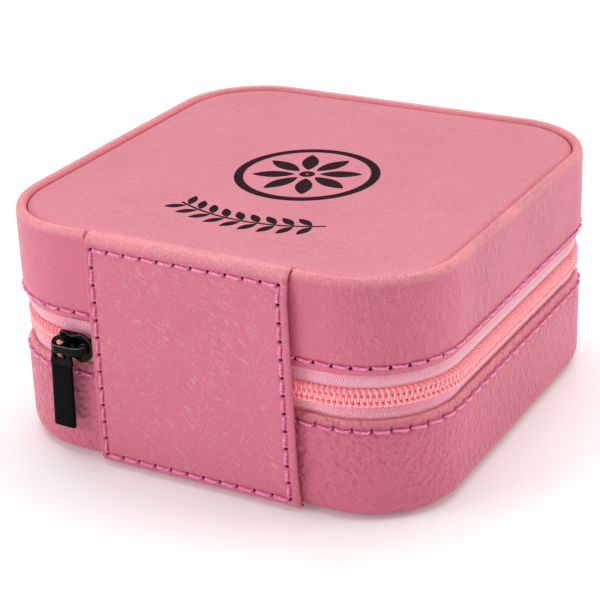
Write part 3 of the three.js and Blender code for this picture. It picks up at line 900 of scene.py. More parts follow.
def hinge_panel():
    """The sewn strip over the hinge, as one piece."""
    route = panel_route()
    samples, middle, out, rows = panel_samples(route)
    columns = np.linspace(-PANEL_SEAM, PANEL_SEAM, 12)
    edge = PANEL_HALF - PANEL_THICK / 2
    x = spread(-edge, edge, 1.2, columns, HOLE_OFFSETS)
    roll = np.radians(np.linspace(90, -90, 9))[1:-1]
    round_x, round_h = edge + PANEL_THICK / 2 * np.cos(roll), 0.5 * np.sin(roll)
    back_x = x[::-12]
    ring_x = np.concatenate([x, round_x, back_x, -round_x])
    ring_h = np.concatenate([np.full(len(x), 1.0), 0.5 + round_h, np.zeros(len(back_x)), 0.5 - round_h])
    grid_x, grid_t = np.meshgrid(ring_x, samples, indexing="ij")
    dent, hole = panel_dent(grid_x, grid_t, rows, columns)
    face = (ring_h > 0.99)[:, None]
    puff = 0.12 * np.exp(-(((np.abs(grid_x) - edge - 0.2) / 0.8) ** 2))
    height = PANEL_THICK * ring_h[:, None] + np.where(face, puff - dent, 0.4 * puff)
    foot = np.clip((samples - samples[-1] + 5.0) / 5.0, 0, 1)
    taper = 1 - 0.008 * foot**2
    height = height * (1 - 0.4 * foot**3)[None, :]
    lift = edge_lift(grid_x) * on_wall_weight(middle)[None, :]
    points = np.stack(
        [
            grid_x * taper[None, :],
            middle[None, :, 0] + (height + lift) * out[None, :, 0],
            middle[None, :, 1] + (height + lift) * out[None, :, 1],
        ],
        -1,
    )
    count = len(samples)
    faces = grid_faces(len(ring_x), count, close_rows=True) + column_caps(len(ring_x), count)
    panel = mesh_object("hinge_panel_leather", [(hand_cut(points), faces)], PANEL_LEATHER)
    # painted shade in the panel's needle holes
    paint(panel, "pit", np.where(face, painted_hole_shade(hole), 0))
    finish(panel, "leatherette", "hinge_panel_upper", "hinge_panel_fold", "hinge_panel_lower")
    bend_at_fold(panel)
    panel_stitches(samples, middle, out, rows, columns)


def edge_lift(x):
    """How far the panel's upright edges stand off the wall: more on the side away from the slider."""
    return np.where(x > 0, 0.2, 0.6) * np.exp(-(((np.abs(x) - PANEL_HALF) / 5.0) ** 2))


def on_wall_weight(middle):
    """1 where the panel lies on the flat wall, 0 where it wraps over the rim or under the base."""
    z = middle[:, 1]
    return np.clip((z - 3) / 6, 0, 1) * np.clip((48.5 - z) / 4, 0, 1)


def bend_at_fold(thing):
    """Stores a piece's placement in its mesh."""
    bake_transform(thing)


def panel_stitches(samples, middle, out, rows, columns):
    """The rectangle of thread on the hinge panel."""
    up = np.stack([np.interp(rows, samples, middle[:, i]) for i in (0, 1)], -1)
    face = PANEL_THICK - 0.1
    parts = []

    def point(x, yz):
        return np.array([x, yz[0], yz[1]])

    outward = np.array([0.0, 1.0, 0.0])
    weights = on_wall_weight(up)
    for x in (-PANEL_SEAM, PANEL_SEAM):
        stands = face - 0.06 + edge_lift(x) * weights
        for a, b, stand_a, stand_b in zip(up, up[1:], stands, stands[1:]):
            start = point(x, a) + outward * stand_a - [0, 0, STITCH_GAP]
            end = point(x, b) + outward * stand_b + [0, 0, STITCH_GAP]
            parts += strand_pair(start, end, outward, (1.0, 0, 0))
    for yz in (up[0], up[-1]):
        for a, b in zip(columns, columns[1:]):
            start = point(a + STITCH_GAP, yz) + outward * face
            end = point(b - STITCH_GAP, yz) + outward * face
            parts += strand_pair(start, end, outward, (0, 0, 1.0))
    parts = [(hand_cut(points), faces) for points, faces in parts]
    sewn = mesh_object("hinge_panel_stitching", parts, THREAD)
    finish(sewn, "leatherette")
    bend_at_fold(sewn)


lid_cover()
base_cover()
lid_top()
ornament()
hinge_panel()


# ---- Zip -------------------------------------------------------------------------------------

TRACK_CORNER = 22.0
TRACK_LENGTH = 4 * (2 * (HALF - TRACK_CORNER) + TRACK_CORNER * math.pi / 2)
PITCH = TRACK_LENGTH / round(TRACK_LENGTH / 1.18)  # one turn of the coil
CHAIN_Z = ZIP_Z - 0.3
ZIP_START = PANEL_HALF - 2.4  # the tapes run on a little under the hinge panel
SLIDER_END = 26.2  # the coils begin at the slider's neck on its side
FLEX_END = 35 * PITCH - 0.3  # the end stretches turn part of the way round the rear corners
RIB = 0.56  # from one rib of the tape to the next
RIB_SLANT = 0.55  # how far a rib leans for each millimetre of height
CHAIN_STAND = 0.3
COIL_RADIUS = 0.29
SEWING_RADII = (0.3, 0.24)  # the humped loop, and the strand under it
CORD_RADIUS = 0.42


def on_track(s, inset, z):
    """A place on the zip's own path, whose corners are wider than the case's."""
    return around(s, inset, z, TRACK_CORNER)


def on_chain(s, inset, z):
    """A place on the chain, which stands a little proud of its tapes."""
    return on_track(s, inset - CHAIN_STAND, z)


def corner_room(s):
    """How much further out the leather's tighter corner reaches than the zip's own path."""
    quarter = TRACK_CORNER * math.pi / 2
    straight = 2 * (HALF - TRACK_CORNER)
    along = (np.asarray(s, float) + straight / 2) % (straight + quarter)
    angle = np.clip((along - straight) / TRACK_CORNER, 0, math.pi / 2)
    shift = TRACK_CORNER - CORNER
    toward = shift * (np.cos(angle) + np.sin(angle))
    round_part = toward + np.sqrt(CORNER**2 - 2 * shift**2 + toward**2)
    flat_part = TRACK_CORNER / np.maximum(np.cos(angle), np.sin(angle))
    return np.minimum(round_part, flat_part) - TRACK_CORNER


def tape_part(way, start, end):
    """A ribbed tape half from under the coil to behind the leather edge, with its painted rib highlights and
    shade.
    """
    front = [(1.8, 0.85), (1.55, 1.5), (1.28, 2.2), (1.12, 3.0), (1.14, 3.7), (1.3, 4.35)]
    front += [(1.42, 4.9), (1.5, 6.4)]
    sunk = 0 if way > 0 else 0.4  # the lower half lies a little deeper
    line = smooth_line([(inset + sunk, rise) for inset, rise in front], 0.4)
    loop = np.vstack([line, line[::-4] + [0.4, 0]])
    rise = loop[:, 1:]
    samples = np.arange(start, end + RIB / 8, RIB / 4)
    samples = np.append(samples[samples < end], end)[None, :]
    wave = np.cos(2 * math.pi * (samples + RIB_SLANT * way * rise) / RIB)
    is_front = (np.arange(len(loop)) < len(line))[:, None]
    outward = corner_room(samples) * np.clip((rise - 1.5) / 2.6, 0, 1)
    inset = loop[:, :1] - outward - np.where(is_front, 0.14 * wave, 0)
    points = on_track(samples, inset, CHAIN_Z + way * rise + 0 * samples)
    columns = samples.shape[1]
    faces = grid_faces(len(loop), columns, close_rows=True) + column_caps(len(loop), columns)
    # painted light: pale on the crests of the front's ribs, deeper between them
    rib = np.where(is_front, 0.5 + 0.5 * wave, 0.2)
    return points, faces, rib


# One turn of the coil as (along, rise, inset), from its heel over its head and back.
COIL_TURN = [(-0.10, 1.75, 1.10), (-0.12, 1.45, 0.80), (-0.05, 0.95, 0.68), (0.00, 0.35, 0.60)]
COIL_TURN += [(0.03, -0.25, 0.66), (0.10, -0.52, 0.98), (0.22, -0.42, 1.34), (0.36, 0.2, 1.56)]
COIL_TURN += [(0.50, 1.1, 1.62), (0.72, 1.6, 1.45)]


def coil_part(way, start, end):
    """A continuous coil: its turns interlock with the other half's, half a pitch along."""
    shift = 0 if way > 0 else PITCH / 2
    along, rise, inset = (np.array(v) for v in zip(*COIL_TURN))
    first, last = (math.ceil((edge - shift) / PITCH) for edge in (start, end))
    s = shift + np.arange(first, last)[:, None] * PITCH + along[None, :]
    rise, inset = (np.broadcast_to(v, s.shape).ravel() for v in (rise, inset))
    path = on_chain(s.ravel(), inset, CHAIN_Z + way * rise)
    return tube(path, COIL_RADIUS, sides=7, up=(0.3, 0.2, 1))


# The sewing's strands over one turn, as (along, rise, inset).
UPPER_LOBE = [(0.42, 2.0, 1.35), (0.18, 1.72, 0.62), (-0.05, 1.35, 0.42)]
UPPER_LOBE += [(-0.12, 1.02, 0.62), (-0.02, 0.84, 1.0)]
UPPER_UNDER = [(0.75, 1.75, 1.3), (0.62, 1.5, 0.75), (0.45, 1.15, 0.72), (0.42, 0.9, 1.05)]
LOWER_LOBE = [(-0.62, 1.1, 1.0), (-0.36, 1.05, 0.56), (0.0, 1.2, 0.44)]
LOWER_LOBE += [(0.36, 1.42, 0.6), (0.62, 1.62, 1.1)]
LOWER_UNDER = [(-0.3, 1.75, 1.35), (0.0, 1.6, 0.82), (0.3, 1.2, 0.85), (0.45, 1.0, 1.15)]


def coil_sewing(way, start, end):
    """The chain stitches that hold a coil down: one humped loop over each turn, one strand under it."""
    shift = 0 if way > 0 else PITCH / 2
    shapes = (UPPER_LOBE, UPPER_UNDER) if way > 0 else (LOWER_LOBE, LOWER_UNDER)
    first, last = (math.ceil((edge - shift) / PITCH) for edge in (start, end))
    parts = []
    for shape, radius in zip(shapes, SEWING_RADII):
        along, rise, inset = smooth_line(shape, 0.24).T
        thick = radius * (0.72 + 0.28 * np.sin(np.linspace(0, math.pi, len(along))))
        for turn in range(first, last):
            s = shift + turn * PITCH + along
            path = on_chain(s, inset, CHAIN_Z + way * rise)
            parts.append(tube(path, thick, sides=7))
    return parts


def filler_cords(way, start, end):
    """The red cord inside the coil."""
    s = np.arange(start, end, PITCH / 2)
    return [tube(on_chain(s, np.full(len(s), 1.14), CHAIN_Z + way * 0.9), CORD_RADIUS)]


def zip_stretch(way, start, end, name):
    """Tape, coil, sewing and filler cord over one stretch, as four pieces."""
    points, faces, rib = tape_part(way, start, end)
    tape = mesh_object(f"zip_tape_{name}", [(points, faces)], TAPE)
    paint(tape, "rib", rib)
    start = max(start, SLIDER_END)
    coil = mesh_object(f"zip_coil_{name}", [coil_part(way, start, end)], NYLON)
    sewing = mesh_object(f"zip_coil_sewing_{name}", coil_sewing(way, start, end), NYLON)
    filler = mesh_object(f"zip_filler_cord_{name}", filler_cords(way, start, end), CORD)
    finish(tape, "zip_tape")
    for thing in (coil, sewing, filler):
        finish(thing, "zip_coil")
    return tape, coil, sewing, filler


def zip_line():
    """The lower half rides the base and the upper rides the lid. The end stretches beside the hinge stay
    where they are built.
    """
    lower = zip_stretch(-1, ZIP_START, TRACK_LENGTH - ZIP_START, "lower")
    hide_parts("zip_tape_lower")
    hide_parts("zip_coil_lower")
    upper = zip_stretch(1, FLEX_END, TRACK_LENGTH - FLEX_END, "upper")
    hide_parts("zip_tape_upper")
    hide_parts("zip_coil_upper")
    for thing in lower:
        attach(thing, "base")
    for thing in upper:
        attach(thing, "lid")
    ends = {"right": (ZIP_START, FLEX_END), "left": (TRACK_LENGTH - FLEX_END, TRACK_LENGTH - ZIP_START)}
    for side, (start, end) in ends.items():
        pieces = zip_stretch(1, start, end, f"end_{side}")
        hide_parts(f"zip_tape_end_{side}")
        for thing in pieces:
            unzip_blend(thing)


def unzip_blend(thing):
    """Stores an end stretch's placement in its mesh.
    """
    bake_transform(thing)


# ---- Slider and pull -------------------------------------------------------------------------

SLIDER_HALF = 3.25
SLIDER_Z = CHAIN_Z - 0.4
HIGHLIGHT_LEVEL = (0.84, 0.985)  # the ring of the outer plate's edge that carries a painted highlight
PLATE_LEVELS = [(0.12, 0.97), (0.22, 1.0), (0.6, 1.0), HIGHLIGHT_LEVEL, (1.0, 0.94), (1.07, 0.86), (1.1, 0.7)]
BAR_SIDES = 24
PULL_X = middle_of("pull_tab", 0) + 0.3
PULL_HALF = 2.55
HEAD_HALF = 2.2
PULL_TILT = math.radians(2.0)


def bevelled(thing, width, segments=3):
    """Rounds a piece's edges and keeps the result as its mesh."""
    modifier = thing.modifiers.new("edges", "BEVEL")
    modifier.width = width * MM
    modifier.segments = segments
    modifier.limit_method = "ANGLE"
    modifier.angle_limit = math.radians(32)
    applied(thing)
    thing.data.shade_smooth()


def applied(thing):
    """Replaces a piece's mesh with what its modifiers make of it."""
    graph = bpy.context.evaluated_depsgraph_get()
    thing.data = bpy.data.meshes.new_from_object(thing.evaluated_get(graph))
    thing.modifiers.clear()


def turned(centre, radius, start, end, steps):
    """Points on an arc. Angles in degrees turn from the first axis to the second."""
    angle = np.radians(np.linspace(start, end, steps + 1))
    return [(centre[0] + radius * math.cos(a), centre[1] + radius * math.sin(a)) for a in angle]


def slider_outline():
    """Round at the panel end, a waist, then two horns at the end the teeth run out of."""
    x0, x1 = span("zip_slider", 0)
    half = SLIDER_HALF
    nose = turned((x0 + half, 0), half, 92, 268, 22)
    waist = [(-3.4, -0.5), (-2.5, -0.72), (-1.7, -0.62), (-1.1, -0.2)]
    horn = [(-0.5, 0.05), (0.15, -0.1), (0.5, -0.6), (0.35, -1.25)]
    mouth = [(x1 - 0.6, 1.0), (x1 - 0.6, -1.0)]
    above = [(x1 + right, half + rise) for right, rise in waist + horn]
    below = [(x, -z) for x, z in above]
    return np.array(nose + below + mouth[::-1] + above[::-1])


def domed(outline_xz, levels):
    """A solid whose outline shrinks about its middle from level to level: (depth, scale) each."""
    middle = (outline_xz.max(0) + outline_xz.min(0)) / 2
    loops = []
    for depth, scale in levels:
        ring = middle + (outline_xz - middle) * scale
        loops.append(np.stack([ring[:, 0], np.full(len(ring), HALF + depth), SLIDER_Z + ring[:, 1]], -1))
    return capped_rings(np.array(loops))


def slider():
    """The slider's outer plate, its inner plate with the neck, and its bridge."""
    x0, x1 = span("zip_slider", 0)
    face = HALF + 0.95
    outline_xz = slider_outline()
    outer = mesh_object("zip_slider_outer_plate", [domed(outline_xz, PLATE_LEVELS)], BLACK, crease=50)
    # painted highlight along one ring of the outer plate's edge
    paint(outer, "painted_edge_highlight", np.repeat([0.45 * (level == HIGHLIGHT_LEVEL) for level in PLATE_LEVELS], len(outline_xz)))
    lips = []
    for side in (-1, 1):
        at = SLIDER_Z + side * (SLIDER_HALF - 0.45)
        lips.append(tube([(x0 + 3.0, HALF - 0.05, at), (x1 - 0.6, HALF - 0.05, at)], 0.3, sides=10))
    reach = (x0 + 1.2, x1 - 1.0)
    wide = [(reach[0], -2.9), (reach[1], -2.9), (reach[1], 2.9), (reach[0], 2.9)]
    thin = [(x0 + 1.1, 0), (x0 + 1.8, -0.45), (x0 + 2.5, 0), (x0 + 1.8, 0.45)]
    inner = domed(np.array(wide), [(-3.95, 0.97), (-3.8, 1.0), (-3.45, 1.0), (-3.35, 0.97)])
    neck = domed(np.array(thin), [(-3.4, 1.0), (0.1, 1.0)])
    under = mesh_object("zip_slider_inner_plate", [inner, neck, *lips], BLACK)
    bevelled(under, 0.1, 2)
    bridge = mesh_object("zip_slider_bridge", bridge_parts(x0, x1, face), BLACK)
    # painted highlight along the bridge bar's upper outer edge
    paint(bridge, "painted_edge_highlight", upper_edge(bridge))
    for thing in (outer, under, bridge):
        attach(thing, "slider")
        finish(thing, "black_metal")
    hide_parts("zip_slider")


def upper_edge(bridge):
    """1 along the bridge bar's upper outer edge, where a highlight is painted, 0 on the leg and the pin."""
    points = np.array([v.co for v in bridge.data.vertices]) / MM
    corner = np.arange(len(points)) % BAR_SIDES == BAR_SIDES // 8
    return corner * (points[:, 1] > HALF + 1.5) * (points[:, 2] > SLIDER_Z + 1.2)


def bridge_parts(x0, x1, face):
    """A level bar on a thin leg that passes through the pull's eye, and a pin through its other foot."""
    top = span("zip_slider", 1)[1] - 0.4
    level = SLIDER_Z + 0.5
    axis = middle_of("pull_tab", 0)
    left, right = x1 + 0.15, x0 + 1.25
    end = [(left, top - 0.95), (left - 0.08, top - 0.45), (left - 0.6, top - 0.1)]
    crest = [((left + right) / 2, top + 0.05)]
    fall = [(right + 1.6, top - 0.1), (right + 0.55, top - 0.5), (right, top - 1.5)]
    fall += [(right - 0.05, face - 0.2)]
    bar = smooth_line([(x, y, level) for x, y in end + crest + fall], 0.25)
    foot = [(axis + 0.2, y, level - 0.1) for y in (face - 0.3, face + 1.0)]
    leg = tube([*foot, (axis + 0.3, top - 0.3, level)], 0.55, sides=16)
    pin = [(right + 0.1, face + 0.75, level + offset) for offset in (-1.15, -1.0, 0, 1.0, 1.15)]
    pin_radii = [0.45, 0.75, 0.8, 0.75, 0.45]
    return [strap_along(bar, 0.95, 0.45), leg, tube(pin, pin_radii, sides=18, up=(1, 0, 0))]


def strap_along(path, half_width, half_thick):
    """A bar of rounded rectangular section along a path in a level plane, its width along Z."""
    tangent = tangents_along(path)
    out = np.cross(tangent, (0, 0, 1.0))
    turn = np.linspace(0, 2 * math.pi, BAR_SIDES, endpoint=False)
    across = half_width * rounded(np.cos(turn), 0.45)
    thick = half_thick * rounded(np.sin(turn), 0.45)
    middle = path[:, None] + thick[None, :, None] * out[:, None]
    return capped_rings(middle + across[None, :, None] * np.array([0, 0, 1.0]))


def rounded(value, power):
    """Squares off a circle's sine or cosine. A power of 1 leaves it round."""
    return np.sign(value) * np.abs(value) ** power


def hung(points):
    """The pull hangs a little askew on its bridge."""
    points = np.array(points, float)
    x, z = points[:, 0] - PULL_X, points[:, 2] - SLIDER_Z
    points[:, 0] = PULL_X + x * math.cos(PULL_TILT) - z * math.sin(PULL_TILT)
    points[:, 2] = SLIDER_Z + z * math.cos(PULL_TILT) + x * math.sin(PULL_TILT)
    return points


def pull_head(top, low, y0, y1):
    """The pull's head: a narrow round-topped frame round its oblong eye, widening to the tab."""
    x = PULL_X
    shoulders = [(x - HEAD_HALF - 0.05, low + 2.4), (x - PULL_HALF, low + 1.0), (x - PULL_HALF, low)]
    outer = turned((x, top - HEAD_HALF), HEAD_HALF, 0, 180, 24) + shoulders
    outer += [(2 * x - px, pz) for px, pz in shoulders[::-1]]
    hole = HEAD_HALF - 0.8
    floor = low + 1.6
    left = [(x - hole, floor + 0.5), (x - hole, floor + 0.3), (x - hole + 0.3, floor)]
    right = [(2 * x - px, pz) for px, pz in left[::-1]]
    inner = turned((x, top - HEAD_HALF - 0.1), hole, 0, 180, 24) + left + right
    count = len(outer)
    loops = [(outer, y0), (outer, y1), (inner, y1), (inner, y0)]
    points = [(px, y, pz) for loop, y in loops for px, pz in loop]
    return hung(points), grid_faces(4, count, close_rows=True, close_columns=True)


def pull_body(top, low, y0, y1):
    """The long flat tab, softly crowned in front and a little wider at its foot."""
    shaft = np.linspace(top - 1.0, low + 0.5, 14)
    z = np.concatenate([[top, top - 0.1, top - 0.35], shaft, [low + 0.12, low]])
    full = np.ones(len(shaft))
    squeeze = np.array([0.55, 0.85, 1.0, *full, 0.98, 0.9])
    wide = PULL_HALF * np.linspace(0.96, 1.02, len(z)) * np.array([0.93, 0.98, 1.0, *full, 0.99, 0.96])
    turn = np.linspace(0, 2 * math.pi, 48, endpoint=False)
    shape_x = rounded(np.cos(turn), 0.32)
    shape_y = rounded(np.sin(turn), 0.5)
    middle = (y0 + y1) / 2
    grid = np.stack(
        [
            PULL_X + wide[:, None] * shape_x[None, :],
            middle + (y1 - y0) / 2 * squeeze[:, None] * shape_y[None, :],
            np.repeat(z[:, None], len(turn), 1),
        ],
        -1,
    )
    points, faces = capped_rings(grid)
    return hung(points), faces


def pull():
    """The pull's head and its long tab."""
    y0, y1 = span("pull_tab", 1)
    low, top = span("pull_tab", 2)
    y0, y1 = y0 + 0.35, y1 + 0.25
    low, top = low - 0.55, top - 0.3
    neck = SLIDER_Z - 3.5
    head = mesh_object("pull_head", [pull_head(top, neck - 0.3, y0, y1)], BLACK)
    bevelled(head, 0.26)
    body = mesh_object("pull_tab_body", [pull_body(neck, low, y0 + 0.05, y1 + 0.1)], TAB_BLACK)
    for thing in (head, body):
        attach(thing, "pull")
        finish(thing, "black_metal")
    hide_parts("pull_tab")


zip_line()
slider()
pull()


# ---- Linings and boards ----------------------------------------------------------------------

LINING_OUT = HALF - span("base_floor_lining", 0)[1]
LINING_IN = LINING_OUT + 0.9


def lining_ring(name, low, high, body, node):
    """A velvet wall lining whose free edge is turned over softly."""
    way = 1 if body == "base" else -1
    free, far = (high, low) if way > 0 else (low, high)
    rolled = arc((LINING_OUT + 0.47, free - way * 0.47), 0.47, 0, way * 180, 8)
    profile = [(LINING_OUT, far), *rolled, (LINING_IN + 0.04, free - way * 3), (LINING_IN + 0.04, far)]
    ring = mesh_object(name, [swept(profile, EVEN)], VELVET)
    place(ring, body, "velvet", node)


def linings():
    """The velvet on the walls, the base's floor and the lid's ceiling."""
    lining_ring("base_wall_velvet", *span("base_wall_lining", 2), "base", "base_wall_lining")
    lining_ring("lid_wall_velvet", *span("lid_wall_lining", 2), "lid", "lid_wall_lining")
    edge = LINING_OUT + 0.05
    low, high = span("base_floor_lining", 2)
    floor = [(edge, low), (edge - 0.02, (low + high) / 2), (edge + 0.3, high - 0.1), (edge + 0.9, high)]
    flat_lining("base_floor_velvet", floor, "base", "base_floor_lining")
    low, high = span("lid_ceiling_lining", 2)
    ceiling = [(edge + 0.9, low), (edge + 0.3, low + 0.1), (edge, (low + high) / 2), (edge, high)]
    flat_lining("lid_ceiling_velvet", ceiling, "lid", "lid_ceiling_lining")


def flat_lining(name, profile, body, node):
    """A velvet lining on a floor or ceiling, with its edge turned over."""
    place(mesh_object(name, [slab(profile, EVEN)], VELVET), body, "velvet", node)


def hinge_lining():
    """The velvet gusset inside the hinge, with a pleat of slack for the lid's swing."""
    half = span("hinge_lining", 0)[1]
    y = span("hinge_lining", 1)[0]
    low, high = BASE_EDGE - 1.5, LID_EDGE + 1.5
    t = np.linspace(0, 1, 41)
    slack = 1.7 * np.sin(math.pi * t) ** 2
    line = np.stack([y - 0.1 - slack, low + (high - low) * t], -1)
    back = line[::-1] + [0.5, 0]
    loop = np.vstack([line, back])
    x = np.linspace(-half - 1.5, half + 1.5, 31)
    rings = np.array([np.column_stack([np.full(len(loop), at), loop]) for at in x])
    strip = mesh_object("hinge_lining_velvet", [capped_rings(rings)], VELVET)
    finish(strip, "velvet", "hinge_lining")
    bend_at_fold(strip)


def recolour(node, material):
    """Gives a CAD node that is shown as it is a finished material."""
    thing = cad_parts[node]
    thing.data.materials.clear()
    thing.data.materials.append(material)


linings()
hinge_lining()
recolour("base_board", BOARD)
recolour("lid_board", BOARD)
recolour("lid_top_pad", FOAM)


# ---- Inside the base -------------------------------------------------------------------------

BOARD_ROUNDING = 0.75


def soft_board(name, node, body):
    """A velvet-covered board with rounded edges."""
    low, high = (np.array(v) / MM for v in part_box(node))
    size = high - low
    counts = [max(3, int(round(v / 1.5))) for v in size]
    work = bmesh.new()
    bmesh.ops.create_cube(work, size=1)
    for axis, count in enumerate(counts):
        cuts = [e for e in work.edges if abs((e.verts[0].co - e.verts[1].co).normalized()[axis]) > 0.9]
        bmesh.ops.subdivide_edges(work, edges=cuts, cuts=count, use_grid_fill=True)
    points = np.array([v.co for v in work.verts]) * size
    faces = [[v.index for v in f.verts] for f in work.faces]
    work.free()
    core = np.clip(points, BOARD_ROUNDING - size / 2, size / 2 - BOARD_ROUNDING)
    offset = points - core
    reach = np.linalg.norm(offset, axis=1)
    scale = np.where(reach > 1e-6, BOARD_ROUNDING / np.maximum(reach, 1e-6), 0)
    points = core + offset * np.minimum(1, scale)[:, None] + (low + high) / 2
    thing = mesh_object(name, [(points, faces)], VELVET, crease=70)
    place(thing, body, "velvet", node)


soft_board("long_divider_velvet", "long_divider", "base")
soft_board("front_divider_velvet", "front_divider", "divider_front")
soft_board("rear_divider_velvet", "rear_divider", "divider_rear")


# ---- Ring rolls ------------------------------------------------------------------------------

SIM_GROWTH = 10  # the cloth solver is steadier on a piece ten times life size
SIM_VOXEL = 1.0
SIM_PRESSURE = 4.0
SIM_FRAMES = 20
ROLL_SWELL = 0.85  # how far the cover may swell from its start
ROLL_END_SEAM = 2.6  # from the roll's end to the seam of its end cap
ROLL_FLAT = 0.35  # how much of its height the roll loses where it rests and meets its neighbours


def coordinates(thing):
    """A piece's points, in metres."""
    flat = np.empty(3 * len(thing.data.vertices))
    thing.data.vertices.foreach_get("co", flat)
    return flat.reshape(-1, 3)


def stuffed(points, faces, swell):
    """The cover of a padded piece, blown out by cloth simulation from a slightly small start."""
    work = mesh_object("padding", [(np.asarray(points) * SIM_GROWTH, faces)], ROLL_VELVET)
    remesh = work.modifiers.new("remesh", "REMESH")
    remesh.mode = "VOXEL"
    remesh.voxel_size = SIM_VOXEL * SIM_GROWTH * MM
    applied(work)
    start = coordinates(work)
    cloth = work.modifiers.new("cloth", "CLOTH")
    cloth.settings.use_pressure = True
    cloth.settings.uniform_pressure_force = SIM_PRESSURE
    cloth.settings.effector_weights.gravity = 0
    for moment in range(1, SIM_FRAMES + 1):
        bpy.context.scene.frame_set(moment)
        bpy.context.view_layer.update()
    applied(work)
    bpy.context.scene.frame_set(1)
    move = coordinates(work) - start
    reach = np.linalg.norm(move, axis=1)
    limit = swell * SIM_GROWTH * MM
    kept = start + move * (np.minimum(reach, limit) / np.maximum(reach, 1e-9))[:, None]
    work.data.vertices.foreach_set("co", kept.ravel())
    smoother = work.modifiers.new("smoother", "SUBSURF")
    smoother.levels = 1
    applied(work)
    result = coordinates(work) / (SIM_GROWTH * MM)
    result_faces = [list(face.vertices) for face in work.data.polygons]
    bpy.data.objects.remove(work)
    return result, result_faces


def roll_start(length, radius, rounding):
    """A plain roll along X, a little smaller than the finished one."""
    t = np.linspace(0, math.pi / 2, 7)
    end = rounding * np.sin(t)
    drop = rounding * (1 - np.cos(t))
    half = length / 2
    body = np.linspace(-half + rounding + 1, half - rounding - 1, 24)
    x = np.concatenate([-half + drop[::-1], body, half - drop])
    r = radius - rounding + np.concatenate([end[::-1], np.full(len(body), rounding), end])
    order = np.argsort(x, kind="stable")
    x, r = x[order], r[order]
    return tube(np.stack([x, 0 * x, 0 * x], -1), r, sides=40)


def roll_shape(length, radius, pitch):
    """A stuffed roll: swollen between its end seams, flatter where it rests and meets its neighbours."""
    points, faces = roll_start(length - 1.4, radius - 0.75, 2.6)
    points, faces = stuffed(points, faces, ROLL_SWELL)
    x, y, z = points.T
    seam = length / 2 - ROLL_END_SEAM
    pinch = 0.45 * np.exp(-(((np.abs(x) - seam) / 0.55) ** 2))
    from_axis = np.maximum(np.hypot(y, z), 1e-6)
    inward = 1 - pinch * np.clip(from_axis / radius, 0, 1) / from_axis
    y, z = y * inward, z * inward
    widest = pitch / 2 - 0.12
    y = widest * np.tanh(y / widest * 1.25) / math.tanh(1.25)
    y = np.clip(y, -widest, widest)
    low = -(radius - ROLL_FLAT)
    z = np.where(z < low, low - 0.25 * (z - low), z)
    return np.stack([x, y, z], -1), faces


def ring_rolls():
    """The six rolls. Rolls of one length share a shape."""
    shapes = {}
    for number in range(1, 7):
        node = f"ring_roll_{number}"
        (x0, x1), (y0, y1), (z0, z1) = (span(node, axis) for axis in range(3))
        length = round(x1 - x0, 2)
        radius = (z1 - z0) / 2
        pitch = span("ring_roll_2", 1)[0] - span("ring_roll_1", 1)[0]
        if length not in shapes:
            shapes[length] = roll_shape(length, radius, abs(pitch))
        points, faces = shapes[length]
        middle = np.array([(x0 + x1) / 2, (y0 + y1) / 2, (z0 + z1) / 2])
        roll = mesh_object(f"ring_roll_{number}_velvet", [(points + middle, faces)], ROLL_VELVET)
        place(roll, "base", "velvet", node)


# ---- Inside the lid --------------------------------------------------------------------------

STRAP_THICK = 0.8
POCKET_CORNER = 12.0
POCKET_GATHERS = 19
POCKET_GATHER_DEPTH = 0.75


def flat_strap(x, path, half_widths, thick):
    """A webbing of rounded section along a path of (y, z) points, its width along X."""
    tangent = tangents_along(path)
    out = np.stack([tangent[:, 1], -tangent[:, 0]], -1)
    turn = np.linspace(0, 2 * math.pi, 28, endpoint=False)
    across = half_widths[:, None] * rounded(np.cos(turn), 0.45)[None, :]
    rise = thick / 2 * rounded(np.sin(turn), 0.7)
    middle = path[:, None] + rise[None, :, None] * out[:, None]
    grid = np.stack([x + across, middle[..., 0], middle[..., 1]], -1)
    return capped_rings(grid)


def necklace_strap(number):
    """One velvet strap, from its sewn end on the lid's ceiling to its round tip under the snap."""
    strap, sewn = f"necklace_strap_{number}", f"strap_sewn_end_{number}"
    x, half = middle_of(strap, 0), half_of(strap, 0)
    root, tip = span(strap, 1)
    level = middle_of(strap, 2)
    back = span(sewn, 1)[0]
    ceiling = middle_of(sewn, 2)
    path = [(back, ceiling), (back + 1.5, ceiling), (root - 0.7, ceiling - 0.1), (root + 1.2, level)]
    path = smooth_line(path + [(root + 4, level - 0.1), (root + 9, level), (tip, level)], 0.3)
    to_tip = np.clip((path[-1, 0] - path[:, 0]) / half, 0, 1)
    from_back = np.clip((path[:, 0] - path[0, 0]) / 0.4, 0, 1)
    widths = half * np.sqrt(np.maximum(1 - (1 - to_tip) ** 2, 0.02)) * (0.94 + 0.06 * from_back)
    piece = mesh_object(f"necklace_strap_{number}_velvet", [flat_strap(x, path, widths, STRAP_THICK)], VELVET)
    finish(piece, "velvet", strap, sewn)
    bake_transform(piece)
    strap_stitches(number, x, half, back, ceiling - STRAP_THICK / 2)


def strap_stitches(number, x, half, back, face):
    """Two short rows that sew the strap down."""
    parts = []
    for y in (back + 0.7, back + 2.9):
        for column in range(5):
            left = x - half + 0.9 + column * 1.25
            parts += strand_pair((left, y, face), (left + 1.0, y, face), (0, 0, -1), (0, 1, 0))
    thing = mesh_object(f"strap_stitching_{number}", parts, THREAD)
    place(thing, "lid", "velvet")


def lathe(x, y, profile, sides=40):
    """A turned piece on an upright axis, from (radius, z) points."""
    turn = np.linspace(0, 2 * math.pi, sides, endpoint=False)
    rings = [[(x + r * math.cos(a), y + r * math.sin(a), z) for a in turn] for r, z in profile]
    return capped_rings(np.array(rings))


